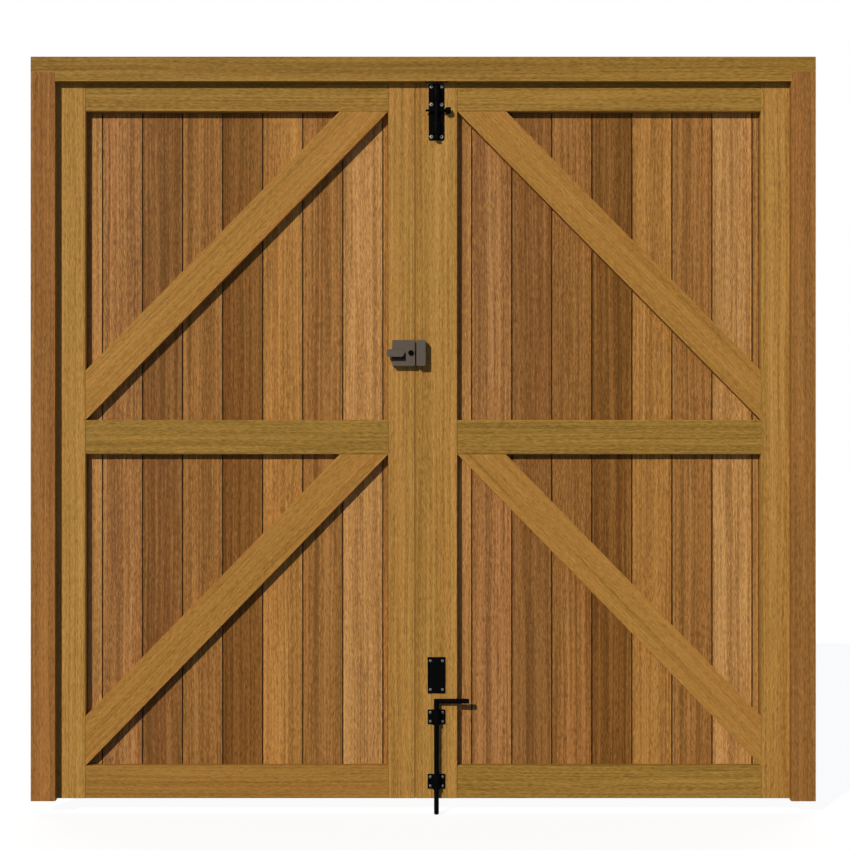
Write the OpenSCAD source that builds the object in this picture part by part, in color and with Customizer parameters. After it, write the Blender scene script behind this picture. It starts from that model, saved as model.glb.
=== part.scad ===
// Pair of framed, ledged and braced garage doors in a rebated timber frame.
// Seen from the inside, along +Y: x = 0 is the middle of the frame, y = 0 its inner face and z = 0 the floor.

/* [Frame] */
// Overall width of the frame
frame_w = 2250; // [2100:1:2700]
// Overall height of the frame
frame_h = 2134; // [2000:1:2400]
// Width of each post
post_w = 70; // [60:1:90]
// Height of the head between the posts
head_h = 70; // [60:1:90]
// Height of the head where it laps over a post
lap_h = 44; // [38:1:52]
// Thickness of the stop that the leaves close against
stop_t = 24; // [18:1:35]
// Width of the rebate that the leaves close into
rebate_w = 16; // [12:1:22]
// Width of the tenon on top of each post
post_tenon_w = 40; // [20:1:46]
// Thickness of the tenon on top of each post
post_tenon_t = 22; // [12:1:30]
// Height of the tenon on top of each post
post_tenon_h = 30; // [15:1:34]
// Radius of the holes for the screws that fix the posts to the wall
fixing_r = 5; // [3:0.5:6]
// Number of those holes in each post
fixings = 4; // [3:1:6]
// Lowest of those holes above the floor
fixing_rise = 200; // [160:1:300]
// Highest of those holes below the top of the frame
fixing_drop = 224; // [200:1:300]

/* [Leaves] */
// Thickness of a leaf
leaf_t = 44; // [40:1:56]
// Gap around the leaves, and below them
leaf_gap = 3; // [2:0.5:5]
// Gap between a closed leaf and its stop
stop_gap = 1; // [0.5:0.5:3]
// Gap between the two leaves
meeting_gap = 3; // [2:0.5:5]
// Middle of the meeting gap, left of the middle of the frame
meeting_offset = 22; // [0:1:60]
// Width of the hanging stiles
hanging_stile_w = 95; // [80:0.5:120]
// Width of the left leaf's meeting stile
left_meeting_stile_w = 77.5; // [72:0.5:110]
// Width of the right leaf's meeting stile
right_meeting_stile_w = 119; // [100:0.5:130]
// Height of the top rails
top_rail_h = 95; // [80:0.5:120]
// Height of the middle rails
middle_rail_h = 99; // [80:0.5:120]
// Underside of the middle rails above the floor
middle_rail_z = 994; // [800:1:1150]
// Height of the bottom rails
bottom_rail_h = 94; // [80:0.5:120]
// Thickness of the middle and bottom rails and of the braces
ledge_t = 27; // [22:0.5:32]
// Width of the braces
brace_w = 100; // [70:1:130]
// Thickness of the rails' tenons
tenon_t = 14; // [10:0.5:18]
// Step from a rail's edge to its tenon
tenon_step = 12; // [6:1:20]
// Clearance of each tenon in its mortise
tenon_fit = 0.2; // [0.1:0.05:0.5]
// Bevel on the long edges of the timbers
arris = 2; // [0.5:0.5:3]

/* [Boards] */
// Visible width of the left leaf's board beside the hanging stile
left_hanging_strip = 44; // [25:0.5:80]
// Visible width of the left leaf's board beside the meeting stile
left_meeting_strip = 16; // [14:0.5:80]
// Visible width of the right leaf's board beside the hanging stile
right_hanging_strip = 20.5; // [14:0.5:80]
// Visible width of the right leaf's board beside the meeting stile
right_meeting_strip = 42; // [25:0.5:80]
// Gap between the faces of neighbouring boards
board_gap = 0.6; // [0.4:0.1:1.5]
// Thickness of the boards' tongues
tongue_t = 5; // [4:0.5:6]
// Length of the boards' tongues
tongue_l = 6; // [5:0.5:8]
// Clearance of the tongues in their grooves
tongue_fit = 0.3; // [0.2:0.05:0.5]
// Bevel of the boards on the inside
inner_v = 1.5; // [0.5:0.5:2.5]
// Bevel of the boards on the outside
outer_v = 3; // [1:0.5:4]

/* [Hinges] */
// Middle of the bottom hinge above the leaf's underside
bottom_hinge_rise = 72; // [70:1:300]
// Middle of the top hinge below the leaf's top
top_hinge_drop = 66; // [66:1:300]
// Thickness of the hinges' plates
hinge_t = 3.5; // [2.5:0.5:4.5]
// Outer radius of the knuckles
knuckle_r = 6.7; // [6:0.1:8]
// Space between the knuckles and the face of the leaf
knuckle_lift = 0.3; // [0.2:0.1:1]
// Height of each knuckle
knuckle_h = 24; // [18:1:30]
// Space between one knuckle and the next
knuckle_gap = 0.4; // [0.3:0.1:1]
// Radius of the hinge pins
hinge_pin_r = 4; // [3:0.1:4.5]
// Radial clearance of the pins
hinge_pin_fit = 0.08; // [0.05:0.01:0.2]
// Radius of the pins' heads
hinge_pin_head_r = 6; // [5:0.5:7]
// Height of the pins' heads
hinge_pin_head_h = 3; // [2:0.5:5]
// Space between the knuckles and the edge of the plates on the posts
knuckle_side_gap = 1.3; // [1:0.1:2]
// Height of the plates on the posts
frame_plate_h = 130; // [110:1:132]
// Outer edge of these plates, from the pin
frame_plate_reach = 46; // [36:1:52]
// Radius of the plates' corners
plate_corner_r = 4; // [1:0.5:8]
// Length of the straps, from the pin
strap_l = 450; // [350:1:600]
// Width of the straps at the root
strap_root_w = 50; // [40:1:60]
// Width of the straps at the tip
strap_tip_w = 26; // [18:1:36]
// Where the straps take their full width, from the pin
strap_root_x = 12; // [11:0.5:20]

/* [Bolts] */
// Middle of both bolts, from the right leaf's meeting edge
bolt_inset = 58.5; // [50:0.5:64]
// Radius of the bolts' rods
rod_r = 7; // [5:0.5:8]
// Radial clearance of the rods in their guides
rod_fit = 0.3; // [0.2:0.05:0.8]
// Thickness of the metal round the rods in their guides
guide_wall = 3; // [2:0.5:4]
// Thickness of the bolts' plates
bolt_plate_t = 3; // [2:0.5:4]
// Space between a rod and the plate behind it
rod_lift = 3; // [1:0.5:5]
// Width of the top bolt's plate
top_plate_w = 45; // [40:1:52]
// Height of the top bolt's plate
top_plate_h = 163; // [150:1:200]
// Top of the top bolt's plate below the head of the frame
top_plate_drop = 3; // [2:0.5:20]
// Radius of the corners of the top bolt's plate
top_plate_corner_r = 5; // [1:0.5:8]
// Height of each of its guides
top_guide_h = 34; // [20:1:34]
// Guides from the ends of the plate, clear of the screws' heads
top_guide_inset = 16; // [15:0.5:16]
// Rise of the top bolt when it is shot
top_bolt_throw = 25; // [15:1:28]
// Height of the top bolt's knob below the top of its plate
top_knob_drop = 79; // [75:1:85]
// Top bolt's rod below the top of its plate
rod_end_drop = 1; // [0:0.5:3]
// Radius of the top bolt's cross pin
cross_pin_r = 3; // [2:0.25:3.5]
// Length of the cross pin left of the rod's middle
nib_l = 31; // [26:0.5:36]
// Outer end of the knob, from the rod's middle
knob_reach = 41; // [36:0.5:50]
// Length of the knob
knob_l = 19; // [14:0.5:24]
// Radius of the knob
knob_r = 9.5; // [7:0.25:9.5]
// Radius of the hole that the top bolt enters
keep_hole_r = 8; // [7.5:0.25:9.5]
// Width of the top bolt's keep plate
keep_plate_w = 66; // [58:1:80]
// Depth of the top bolt's keep plate
keep_plate_d = 20; // [19:0.5:22]
// Depth of the hole in the head past the shot bolt
keep_hole_spare = 8; // [2:1:15]
// Rise of the bottom bolt when it is drawn
bottom_bolt_lift = 60; // [40:1:62]
// Reach of the bottom bolt below the floor
bottom_bolt_reach = 40; // [20:1:60]
// Middle of the bottom bolt's handle above the floor
crank_z = 285; // [275:1:290]
// Length of the bottom bolt's handle, from the rod's middle
crank_l = 94; // [70:1:120]
// Width of the bottom bolt's guide plates
guide_plate_w = 50.5; // [46:0.5:58]
// Height of the bottom bolt's guide plates
guide_plate_h = 42; // [34:1:50]
// Radius of the corners of the bottom bolt's plates
guide_corner_r = 1.5; // [0.5:0.5:4]
// Middle of the upper guide above the floor
upper_guide_z = 238; // [200:1:245]
// Middle of the lower guide above the floor
lower_guide_z = 52.5; // [40:0.5:80]
// Width of the plate that the drawn handle rests on
rest_plate_w = 51; // [46:0.5:60]
// Height of this plate
rest_plate_h = 104; // [80:1:120]
// Middle of this plate above the drawn handle
rest_plate_rise = 13; // [10:1:50]
// Bevel on the ends of the rods
rod_bevel = 2; // [1:0.5:3]

/* [Latch] */
// Middle of the latch above the floor
latch_z = 1285; // [1180:1:1500]
// Width of the latch's case
case_w = 65; // [64:0.5:72]
// Height of the latch's case
case_h = 74; // [74:0.5:90]
// Depth of the latch's case
case_d = 24; // [24:0.5:30]
// Thickness of the case's walls
case_wall = 2; // [1.5:0.25:2.5]
// Radius of the case's corners
case_corner_r = 3; // [1:0.5:5]
// Gap between the case and its leaf's meeting edge
case_inset = 0.5; // [0.5:0.5:2]
// Lever's pivot from the case's edge
lever_x = 41.5; // [41:0.5:43]
// Height of the lever's arm
lever_h = 22; // [16:0.5:22]
// Tip of the lever from its pivot
lever_l = 39; // [34:0.5:44]
// Radius of the lever's hub
hub_r = 11.5; // [11.5:0.5:14]
// Thickness of the lever
lever_t = 9.5; // [8:0.5:10]
// How far the lever stands proud of the case
lever_proud = 1; // [0.5:0.5:3]
// Clearance round the lever, the bolt and the button
latch_fit = 0.5; // [0.3:0.1:0.6]
// Radial clearance of the lever's spindle
spindle_fit = 0.1; // [0.05:0.05:0.2]
// Reach of the case's well to the right of the lever's pivot
well_reach = 16; // [15:0.5:17]
// Depth of the case's well below the lever's pivot
well_drop = 23.5; // [22:0.5:24]
// Turn of the lever, in degrees
lever_turn = 24; // [15:1:25]
// Radius of the lever's spindle
spindle_r = 5; // [4:0.25:5]
// Length of the finger that drives the bolt
finger_l = 30; // [26:0.5:30]
// Width of that finger
finger_w = 6; // [5:0.5:7]
// Radius of the finger's peg
peg_r = 2.5; // [2:0.25:3]
// Height of the latch bolt
latch_bolt_h = 20; // [16:0.5:22]
// Thickness of the latch bolt
latch_bolt_t = 10; // [8:0.5:10]
// Height of the bevel on the latch bolt's nose
nose_bevel = 6; // [3:0.5:7]
// Button's middle from the case's edge
button_x = 11; // [10.5:0.5:12]
// Radius of the button
button_r = 7.5; // [6:0.25:8]
// How far the button stands proud of the case
button_proud = 3.5; // [3.5:0.25:6]
// Width of the keep on the right leaf
keep_w = 26.3; // [22:0.1:34]
// Depth of the keep
keep_d = 30; // [26:0.5:30]
// Keep's edge from its leaf's meeting edge
keep_inset = 1; // [1:0.25:3]
// Radius of the cylinder in the stile
cylinder_r = 15; // [12:0.5:15]
// Radius of the cylinder's rose on the outside
rose_r = 20; // [17:0.5:22]

/* [Screws] */
// Radius of the hinge screws' heads
hinge_screw_head_r = 4.8; // [4:0.1:6]
// Length of the hinge screws' shanks
hinge_screw_l = 30; // [20:1:36]
// Radius of the heads of the top bolt's screws
top_screw_head_r = 5.4; // [4:0.1:6]
// Radius of the heads of the other bolt's screws
small_screw_head_r = 4.2; // [3.5:0.1:5.5]
// Length of the bolt screws' shanks
bolt_screw_l = 22; // [15:1:30]
// Radius of all screws' shanks
shank_r = 2.2; // [1.8:0.1:2.8]
// Radial clearance of the shanks
shank_fit = 0.05; // [0.03:0.01:0.1]
// Height of the screws' domed heads
screw_dome = 2.4; // [1.5:0.1:3.5]
// Screws' middles from the sides of the bolts' plates
screw_margin = 8; // [7:0.5:10]
// Screws' middles from the ends of the rest plate
rest_screw_margin = 10.5; // [8:0.5:16]
// Middle row of the top bolt's screws below the top of its plate
top_screw_drop = 60; // [50:1:62]
// Bottom row of the top bolt's screws above the bottom of its plate
bottom_screw_rise = 10; // [8:0.5:16]
// Width of the screws' slots
slot_w = 1.1; // [0.8:0.1:1.6]

/* [Hidden] */
$fn = 48;

LEFT = 0;
RIGHT = 1;
past = 1; // how far a cut runs past the surface that it opens
boards = 9;

// Frame and leaves in plan
leaf_y = stop_t + stop_gap;
frame_d = leaf_y + leaf_t;
ledge_back = leaf_y + ledge_t;
board_t = leaf_t - ledge_t;
side_x = frame_w / 2;
stop_x = side_x - post_w;
rebate_x = stop_x + rebate_w;
hang_x = rebate_x - leaf_gap;
left_meet_x = -meeting_offset - meeting_gap / 2;
right_meet_x = -meeting_offset + meeting_gap / 2;
leaf_w = [hang_x + left_meet_x, hang_x - right_meet_x];
meeting_stile_w = [left_meeting_stile_w, right_meeting_stile_w];
hanging_strip = [left_hanging_strip, right_hanging_strip];
meeting_strip = [left_meeting_strip, right_meeting_strip];

// Heights
head_z = frame_h - head_h;
rebate_z = head_z + rebate_w;
post_top = frame_h - lap_h;
leaf_bottom = leaf_gap;
leaf_top = rebate_z - leaf_gap;
bottom_rail_top = leaf_bottom + bottom_rail_h;
middle_rail_top = middle_rail_z + middle_rail_h;
top_rail_z = leaf_top - top_rail_h;
fixing_span = frame_h - fixing_drop - fixing_rise;
fixing_zs = [for (i = [0:fixings - 1]) fixing_rise + i * fixing_span / (fixings - 1)];

// Tenons and grooves
tenon_y = ledge_back - tenon_t;
tongue_y = ledge_back + (board_t - tongue_t) / 2;
groove_t = tongue_t + 2 * tongue_fit;
groove_l = tongue_l + 2 * tongue_fit;

// Hinges
hinge_x = hang_x + leaf_gap / 2;
knuckle_drop = knuckle_r + knuckle_lift;
hinge_y = frame_d + knuckle_drop;
hinge_zs = [
    leaf_bottom + bottom_hinge_rise,
    middle_rail_z + middle_rail_h / 2,
    leaf_top - top_hinge_drop,
];
knuckle_top = 1.5 * knuckle_h;
notch_x = knuckle_r + knuckle_side_gap;
frame_plate_w = frame_plate_reach - notch_x;
frame_plate_screws = [
    for (i = [-3, -1, 1, 3]) [-notch_x - frame_plate_w * (abs(i) == 1 ? 0.32 : 0.7), i * frame_plate_h / 7]
];
strap_tip_r = strap_tip_w / 2;
strap_screws = [
    [0.07 * strap_l, 0.28 * strap_root_w], [0.07 * strap_l, -0.28 * strap_root_w],
    for (share = [0.16, 0.38, 0.55, 0.72, 0.945]) [share * strap_l, 0],
];

// Bolts
bolt_x = right_meet_x + bolt_inset;
bolt_plate_y = leaf_y - bolt_plate_t;
rod_y = bolt_plate_y - rod_lift - rod_r;
rest_plate_z = crank_z + bottom_bolt_lift + rest_plate_rise;
guide_r = rod_r + rod_fit + guide_wall;
top_plate_z = head_z - top_plate_drop;
top_plate_bottom = top_plate_z - top_plate_h;
knob_z = top_plate_z - top_knob_drop;
top_rod_end = top_plate_z - rod_end_drop;
keep_hole_top = top_rod_end + top_bolt_throw + keep_hole_spare;
top_screws = [
    for (s = [-1, 1], drop = [screw_margin, top_screw_drop, top_plate_h - bottom_screw_rise])
        [bolt_x + s * (top_plate_w / 2 - screw_margin), top_plate_z - drop]
];
rest_screws = corners(rest_plate_z, rest_plate_w / 2 - screw_margin, rest_plate_h / 2 - rest_screw_margin);
guide_screws = [
    for (z = [upper_guide_z, lower_guide_z])
        each corners(z, guide_plate_w / 2 - screw_margin, guide_plate_h / 2 - screw_margin)
];

// Latch
case_edge = left_meet_x - case_inset;
case_x = case_edge - case_w;
case_y = leaf_y - case_d;
pivot_x = case_edge - lever_x;
well_d = lever_t - lever_proud + latch_fit;
lever_y = case_y - lever_proud;
layer_gap = 1; // between the latch's inner pieces
inside_y = case_y + well_d + case_wall + layer_gap;
finger_t = 3;
yoke_y = inside_y + finger_t + layer_gap;
yoke_t = 3;
yoke_side = 7;
yoke_reach = 20;
latch_bolt_x = case_edge - latch_fit;
bolt_back_gap = 4.5;
bolt_back_x = pivot_x + spindle_r + bolt_back_gap;
latch_ratio = 0.9866 * finger_l; // bolt's travel for each radian of the lever
latch_throw = latch_ratio * lever_turn * PI / 180;
button_travel = 3;
collar_t = 1.5;
collar_proud = 1.2;
stem_r = 3;
keep_x = right_meet_x + keep_inset;
keep_fit = 1;
keep_pocket = latch_throw - (keep_x - latch_bolt_x) + 2 * keep_fit;

// Cylinder
cylinder_y = leaf_y + 2;
rose_t = 2.5;
plug_proud = 4;
plug_r = cylinder_r - 3;
key_w = 2;
key_h = 9;
key_d = 14;
tail_w = 8;
tail_t = 2;

// Colours
post_brown = "#9D6D38";
head_olive = "#916E2D";
stile_gold = "#A57A3C";
rail_olive = "#8F7030";
board_tones = [
    "#B0854A", "#A06A45", "#8C6334", "#B58A52", "#7A5128", "#B9783A", "#8F6636", "#B98F56", "#A87234",
];
iron_black = "#1A1A1A";
case_grey = "#5C554D";
bright_steel = "#B9B9B4";

// Four corners about the bolts' line
function corners(z, across, up) = [for (s = [-1, 1], t = [-1, 1]) [bolt_x + s * across, z + t * up]];

// Rectangle with a bevel on each corner
function bevelled(w, t, b) = [
    [b, 0], [w - b, 0], [w, b], [w, t - b], [w - b, t], [b, t], [0, t - b], [0, b]
];

// Plan of the joints between the boards of a leaf, measured from its hanging edge
function panel_x0(side) = hanging_stile_w;
function panel_x1(side) = leaf_w[side] - meeting_stile_w[side];
function cover(side) =
    (panel_x1(side) - panel_x0(side) - hanging_strip[side] - meeting_strip[side]) / (boards - 2);
function joint_x(side, i) =
    i == 0 ? panel_x0(side)
    : i == boards ? panel_x1(side)
    : panel_x0(side) + hanging_strip[side] + (i - 1) * cover(side);

module block(from, to) translate(from) cube(to - from);

// Upright timber with its long edges bevelled
module upright(x0, x1, y0, y1, z0, z1)
    translate([x0, y0, z0]) linear_extrude(z1 - z0) polygon(bevelled(x1 - x0, y1 - y0, arris));

// Level timber along X with its long edges bevelled
module level_timber(x0, x1, y0, y1, z0, z1)
    translate([x0, y0, z0]) rotate([90, 0, 90]) linear_extrude(x1 - x0)
        polygon(bevelled(y1 - y0, z1 - z0, arris));

// Rectangle about its middle with round corners
module rounded(w, h, r) {
    square([w - 2 * r, h], center = true);
    square([w, h - 2 * r], center = true);
    for (x = [-1, 1], z = [-1, 1]) translate([x * (w / 2 - r), z * (h / 2 - r)]) circle(r);
}

// A plan drawn in X and Z, standing upright from y0 to y1
module standing(y0, y1) translate([0, y1, 0]) rotate([90, 0, 0]) linear_extrude(y1 - y0) children();

// A rod along Y, Z or X
module rod_along_y(x, z, y0, y1, r) translate([x, y1, z]) rotate([90, 0, 0]) cylinder(r = r, h = y1 - y0);
module rod_along_z(x, y, z0, z1, r) translate([x, y, z0]) cylinder(r = r, h = z1 - z0);
module rod_along_x(y, z, x0, x1, r) translate([x0, y, z]) rotate([0, 90, 0]) cylinder(r = r, h = x1 - x0);

// Puts what is drawn for the left half on either side of the frame
module on_side(side) mirror([side == RIGHT ? 1 : 0, 0, 0]) children();

// Puts a leaf's piece, drawn from its hanging edge, in its place
module in_leaf(side) on_side(side) translate([-hang_x, 0, 0]) children();

module at_hinges(side) on_side(side) for (z = hinge_zs) translate([-hinge_x, hinge_y, z]) children();

// Faces outwards at each screw of the straps or of the plates on the posts
module at_strap_screws(side) at_hinges(side)
    for (s = strap_screws)
        translate([s[0], hinge_t - knuckle_drop, s[1]]) rotate([-90, 0, 0]) children();
module at_frame_plate_screws(side) at_hinges(side)
    for (s = frame_plate_screws)
        translate([s[0], hinge_t - knuckle_drop, s[1]]) rotate([-90, 0, 0]) children();

// Faces inwards at each of a list of screws in the bolts' plates
module at_bolt_screws(places = concat(top_screws, rest_screws, guide_screws))
    for (p = places) translate([p[0], bolt_plate_y, p[1]]) rotate([90, 0, 0]) children();

// Faces downwards at each screw of the top bolt's keep plate
module at_keep_screws()
    for (s = [-1, 1])
        translate([bolt_x + s * (keep_plate_w / 2 - screw_margin), rod_y, head_z])
            rotate([180, 0, 0]) children();

// Round-headed screw with a slot, its head standing on z = 0
module screw(head_r, length) {
    steps = 5;
    difference() {
        rotate_extrude($fn = 32) polygon(concat(
            [[0, 0], [head_r, 0]],
            [for (i = [1:steps - 1]) [head_r * cos(90 * i / steps), screw_dome * sin(90 * i / steps)]],
            [[0, screw_dome]]
        ));
        translate([0, 0, screw_dome]) cube([3 * head_r, slot_w, screw_dome], center = true);
    }
    translate([0, 0, -length]) cylinder(r = shank_r, h = length);
}

module screw_hole(length)
    translate([0, 0, -length - past]) cylinder(r = shank_r + shank_fit, h = length + 2 * past);

// Frame

module post_tenon(fit) {
    middle = side_x - (post_w - rebate_w) / 2;
    y0 = (frame_d - post_tenon_t) / 2;
    block(
        [-middle - post_tenon_w / 2 - fit, y0 - fit, post_top - past],
        [-middle + post_tenon_w / 2 + fit, y0 + post_tenon_t + fit, post_top + post_tenon_h + fit]
    );
}

module jamb(side) color(post_brown) on_side(side) difference() {
    union() {
        difference() {
            block([-side_x, 0, 0], [-stop_x, frame_d, post_top]);
            block([-rebate_x, stop_t, -past], [-stop_x + past, frame_d + past, post_top + past]);
        }
        post_tenon(0);
    }
    for (z = fixing_zs) rod_along_x(
        stop_t + (frame_d - stop_t) / 2, z, -side_x - past, -rebate_x + past, fixing_r
    );
    on_side(side) at_frame_plate_screws(side) screw_hole(hinge_screw_l);
}

module left_jamb() jamb(LEFT);
module right_jamb() jamb(RIGHT);

module head() color(head_olive) difference() {
    union() {
        block([-side_x, 0, post_top], [side_x, frame_d, frame_h]);
        block([-stop_x, 0, head_z], [stop_x, stop_t, post_top]);
        block([-rebate_x, stop_t, rebate_z], [rebate_x, frame_d, post_top]);
    }
    for (side = [LEFT, RIGHT]) on_side(side) post_tenon(tenon_fit);
    rod_along_z(bolt_x, rod_y, head_z - past, keep_hole_top, keep_hole_r);
    keep_plate_box(tenon_fit, past);
    at_keep_screws() screw_hole(bolt_screw_l);
}

module keep_plate_box(fit, below) block(
    [bolt_x - keep_plate_w / 2 - fit, rod_y - keep_plate_d / 2 - fit, head_z - below],
    [bolt_x + keep_plate_w / 2 + fit, rod_y + keep_plate_d / 2 + fit, head_z + bolt_plate_t]
);

module top_bolt_keep() color(iron_black) difference() {
    keep_plate_box(0, 0);
    rod_along_z(bolt_x, rod_y, head_z - past, head_z + bolt_plate_t + past, keep_hole_r);
    at_keep_screws() screw_hole(bolt_screw_l);
}

// Hinges, drawn about the pin with the leaf towards +X

module knuckle(z0, z1) rod_along_z(0, 0, z0, z1, knuckle_r);
module knuckle_bore() rod_along_z(0, 0, -knuckle_top - past, knuckle_top + past, hinge_pin_r + hinge_pin_fit);

module frame_plate() difference() {
    union() {
        standing(-knuckle_drop, hinge_t - knuckle_drop) translate([-notch_x - frame_plate_w / 2, 0])
            rounded(frame_plate_w, frame_plate_h, plate_corner_r);
        for (s = [-1, 1]) {
            z0 = min(s * (knuckle_h / 2 + knuckle_gap), s * knuckle_top);
            z1 = max(s * (knuckle_h / 2 + knuckle_gap), s * knuckle_top);
            block([-notch_x - plate_corner_r, -knuckle_drop, z0], [0, hinge_t - knuckle_drop, z1]);
            knuckle(z0, z1);
        }
    }
    knuckle_bore();
}

module hinge_plates(side) color(iron_black) difference() {
    at_hinges(side) frame_plate();
    at_frame_plate_screws(side) screw_hole(hinge_screw_l);
}

module left_hinge_plates() hinge_plates(LEFT);
module right_hinge_plates() hinge_plates(RIGHT);

module hinge_pins(side) color(iron_black) at_hinges(side) {
    rod_along_z(0, 0, -knuckle_top, knuckle_top, hinge_pin_r);
    rod_along_z(0, 0, knuckle_top, knuckle_top + hinge_pin_head_h, hinge_pin_head_r);
}

module left_hinge_pins() hinge_pins(LEFT);
module right_hinge_pins() hinge_pins(RIGHT);

module strap() difference() {
    union() {
        standing(-knuckle_drop, hinge_t - knuckle_drop) {
            polygon([
                [strap_root_x, -strap_root_w / 2], [strap_l - strap_tip_r, -strap_tip_r],
                [strap_l - strap_tip_r, strap_tip_r], [strap_root_x, strap_root_w / 2],
            ]);
            translate([strap_l - strap_tip_r, 0]) circle(strap_tip_r);
        }
        block(
            [0, -knuckle_drop, -knuckle_h / 2],
            [strap_root_x + past, hinge_t - knuckle_drop, knuckle_h / 2]
        );
        knuckle(-knuckle_h / 2, knuckle_h / 2);
    }
    knuckle_bore();
}

module hinge_straps(side) color(iron_black) difference() {
    at_hinges(side) strap();
    at_strap_screws(side) screw_hole(hinge_screw_l);
}

module left_hinge_straps() hinge_straps(LEFT);
module right_hinge_straps() hinge_straps(RIGHT);

module strap_screws(side) color(iron_black) at_strap_screws(side) screw(hinge_screw_head_r, hinge_screw_l);
module left_strap_screws() strap_screws(LEFT);
module right_strap_screws() strap_screws(RIGHT);

module frame_screws() color(iron_black) {
    for (side = [LEFT, RIGHT]) at_frame_plate_screws(side) screw(hinge_screw_head_r, hinge_screw_l);
    at_keep_screws() screw(small_screw_head_r, bolt_screw_l);
}

// Timbers of the leaves, drawn from the hanging edge

// Every hole that screws and the latch make in a leaf, in the frame's own place
module leaf_holes(side) {
    at_strap_screws(side) screw_hole(hinge_screw_l);
    if (side == RIGHT) at_bolt_screws() screw_hole(bolt_screw_l);
    if (side == LEFT) rod_along_y(pivot_x, latch_z, leaf_y - past, frame_d + past, cylinder_r + tenon_fit);
}

// Cuts for the three rails' tenons
module tenon_box(z0, z1, x0, x1, fit) block(
    [x0, tenon_y - fit, z0 + tenon_step - fit], [x1, tenon_y + tenon_t + fit, z1 - tenon_step + fit]
);

module rail_tenons(x0, x1, fit) {
    tenon_box(leaf_bottom, bottom_rail_top, x0, x1, fit);
    tenon_box(middle_rail_z, middle_rail_top, x0, x1, fit);
    tenon_box(top_rail_z, leaf_top, x0, x1, fit);
}

module groove_box(from, to) block(
    [from[0], tongue_y - tongue_fit, from[1]], [to[0], tongue_y + tongue_t + tongue_fit, to[1]]
);

module stile(side, x0, x1, groove_x0, groove_x1) color(stile_gold) difference() {
    in_leaf(side) difference() {
        upright(x0, x1, leaf_y, frame_d, leaf_bottom, leaf_top);
        rail_tenons(x0 - past, x1 + past, tenon_fit);
        groove_box([groove_x0, leaf_bottom - past], [groove_x1, top_rail_z + groove_l]);
    }
    leaf_holes(side);
}

module hanging_stile(side) stile(
    side, 0, panel_x0(side), panel_x0(side) - groove_l, panel_x0(side) + past
);
module meeting_stile(side) stile(
    side, panel_x1(side), leaf_w[side], panel_x1(side) - past, panel_x1(side) + groove_l
);

module left_hanging_stile() hanging_stile(LEFT);
module left_meeting_stile() meeting_stile(LEFT);
module right_hanging_stile() hanging_stile(RIGHT);
module right_meeting_stile() meeting_stile(RIGHT);

module ledge(side, z0, z1) color(rail_olive) difference() {
    in_leaf(side) {
        level_timber(panel_x0(side), panel_x1(side), leaf_y, ledge_back, z0, z1);
        tenon_box(z0, z1, 0, leaf_w[side], 0);
    }
    leaf_holes(side);
}

module top_rail(side) color(rail_olive) difference() {
    in_leaf(side) difference() {
        union() {
            level_timber(panel_x0(side), panel_x1(side), leaf_y, frame_d, top_rail_z, leaf_top);
            tenon_box(top_rail_z, leaf_top, 0, leaf_w[side], 0);
        }
        groove_box(
            [panel_x0(side) - past, top_rail_z - past],
            [panel_x1(side) + past, top_rail_z + groove_l]
        );
    }
    leaf_holes(side);
}

module left_top_rail() top_rail(LEFT);
module left_middle_rail() ledge(LEFT, middle_rail_z, middle_rail_top);
module left_bottom_rail() ledge(LEFT, leaf_bottom, bottom_rail_top);
module right_top_rail() top_rail(RIGHT);
module right_middle_rail() ledge(RIGHT, middle_rail_z, middle_rail_top);
module right_bottom_rail() ledge(RIGHT, leaf_bottom, bottom_rail_top);

// Brace that rises from the hanging stile, with its lower edge from corner to corner of its panel
module brace(side, z0, z1) color(stile_gold) in_leaf(side) {
    x0 = panel_x0(side);
    x1 = panel_x1(side);
    slope_l = norm([x1 - x0, z1 - z0]);
    standing(leaf_y, ledge_back) polygon([
        [x0, z0], [x1, z1],
        [x1 - brace_w * slope_l / (z1 - z0), z1], [x0, z0 + brace_w * slope_l / (x1 - x0)],
    ]);
}

module left_upper_brace() brace(LEFT, middle_rail_top, top_rail_z);
module left_lower_brace() brace(LEFT, bottom_rail_top, middle_rail_z);
module right_upper_brace() brace(RIGHT, middle_rail_top, top_rail_z);
module right_lower_brace() brace(RIGHT, bottom_rail_top, middle_rail_z);

// Section of a board: tongue towards the meeting stile, groove towards the hanging stile
module board_section(x0, x1, first) {
    tongue_at = tongue_y - ledge_back;
    translate([x0, ledge_back]) difference() {
        union() {
            polygon([
                [inner_v, 0], [x1 - x0 - inner_v, 0], [x1 - x0, inner_v], [x1 - x0, board_t - outer_v],
                [x1 - x0 - outer_v, board_t], [outer_v, board_t], [0, board_t - outer_v], [0, inner_v],
            ]);
            translate([x1 - x0 - past, tongue_at]) square([past + tongue_l, tongue_t]);
            if (first) translate([-tongue_l, tongue_at]) square([past + tongue_l, tongue_t]);
        }
        if (!first) translate([-past, tongue_at - tongue_fit]) square([past + groove_l, groove_t]);
    }
}

module board(side, i) color(board_tones[side == LEFT ? i - 1 : boards - i]) difference() {
    x0 = joint_x(side, i - 1) + board_gap / 2;
    x1 = joint_x(side, i) - board_gap / 2;
    in_leaf(side) {
        translate([0, 0, leaf_bottom]) linear_extrude(top_rail_z - board_gap - leaf_bottom)
            board_section(x0, x1, i == 1);
        block([x0, tongue_y, top_rail_z - board_gap], [x1, tongue_y + tongue_t, top_rail_z + tongue_l]);
    }
    leaf_holes(side);
}

// Bolts on the right leaf

module bolt_screws() color(bright_steel) {
    at_bolt_screws(top_screws) screw(top_screw_head_r, bolt_screw_l);
    at_bolt_screws(concat(rest_screws, guide_screws)) screw(small_screw_head_r, bolt_screw_l);
}

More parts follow.
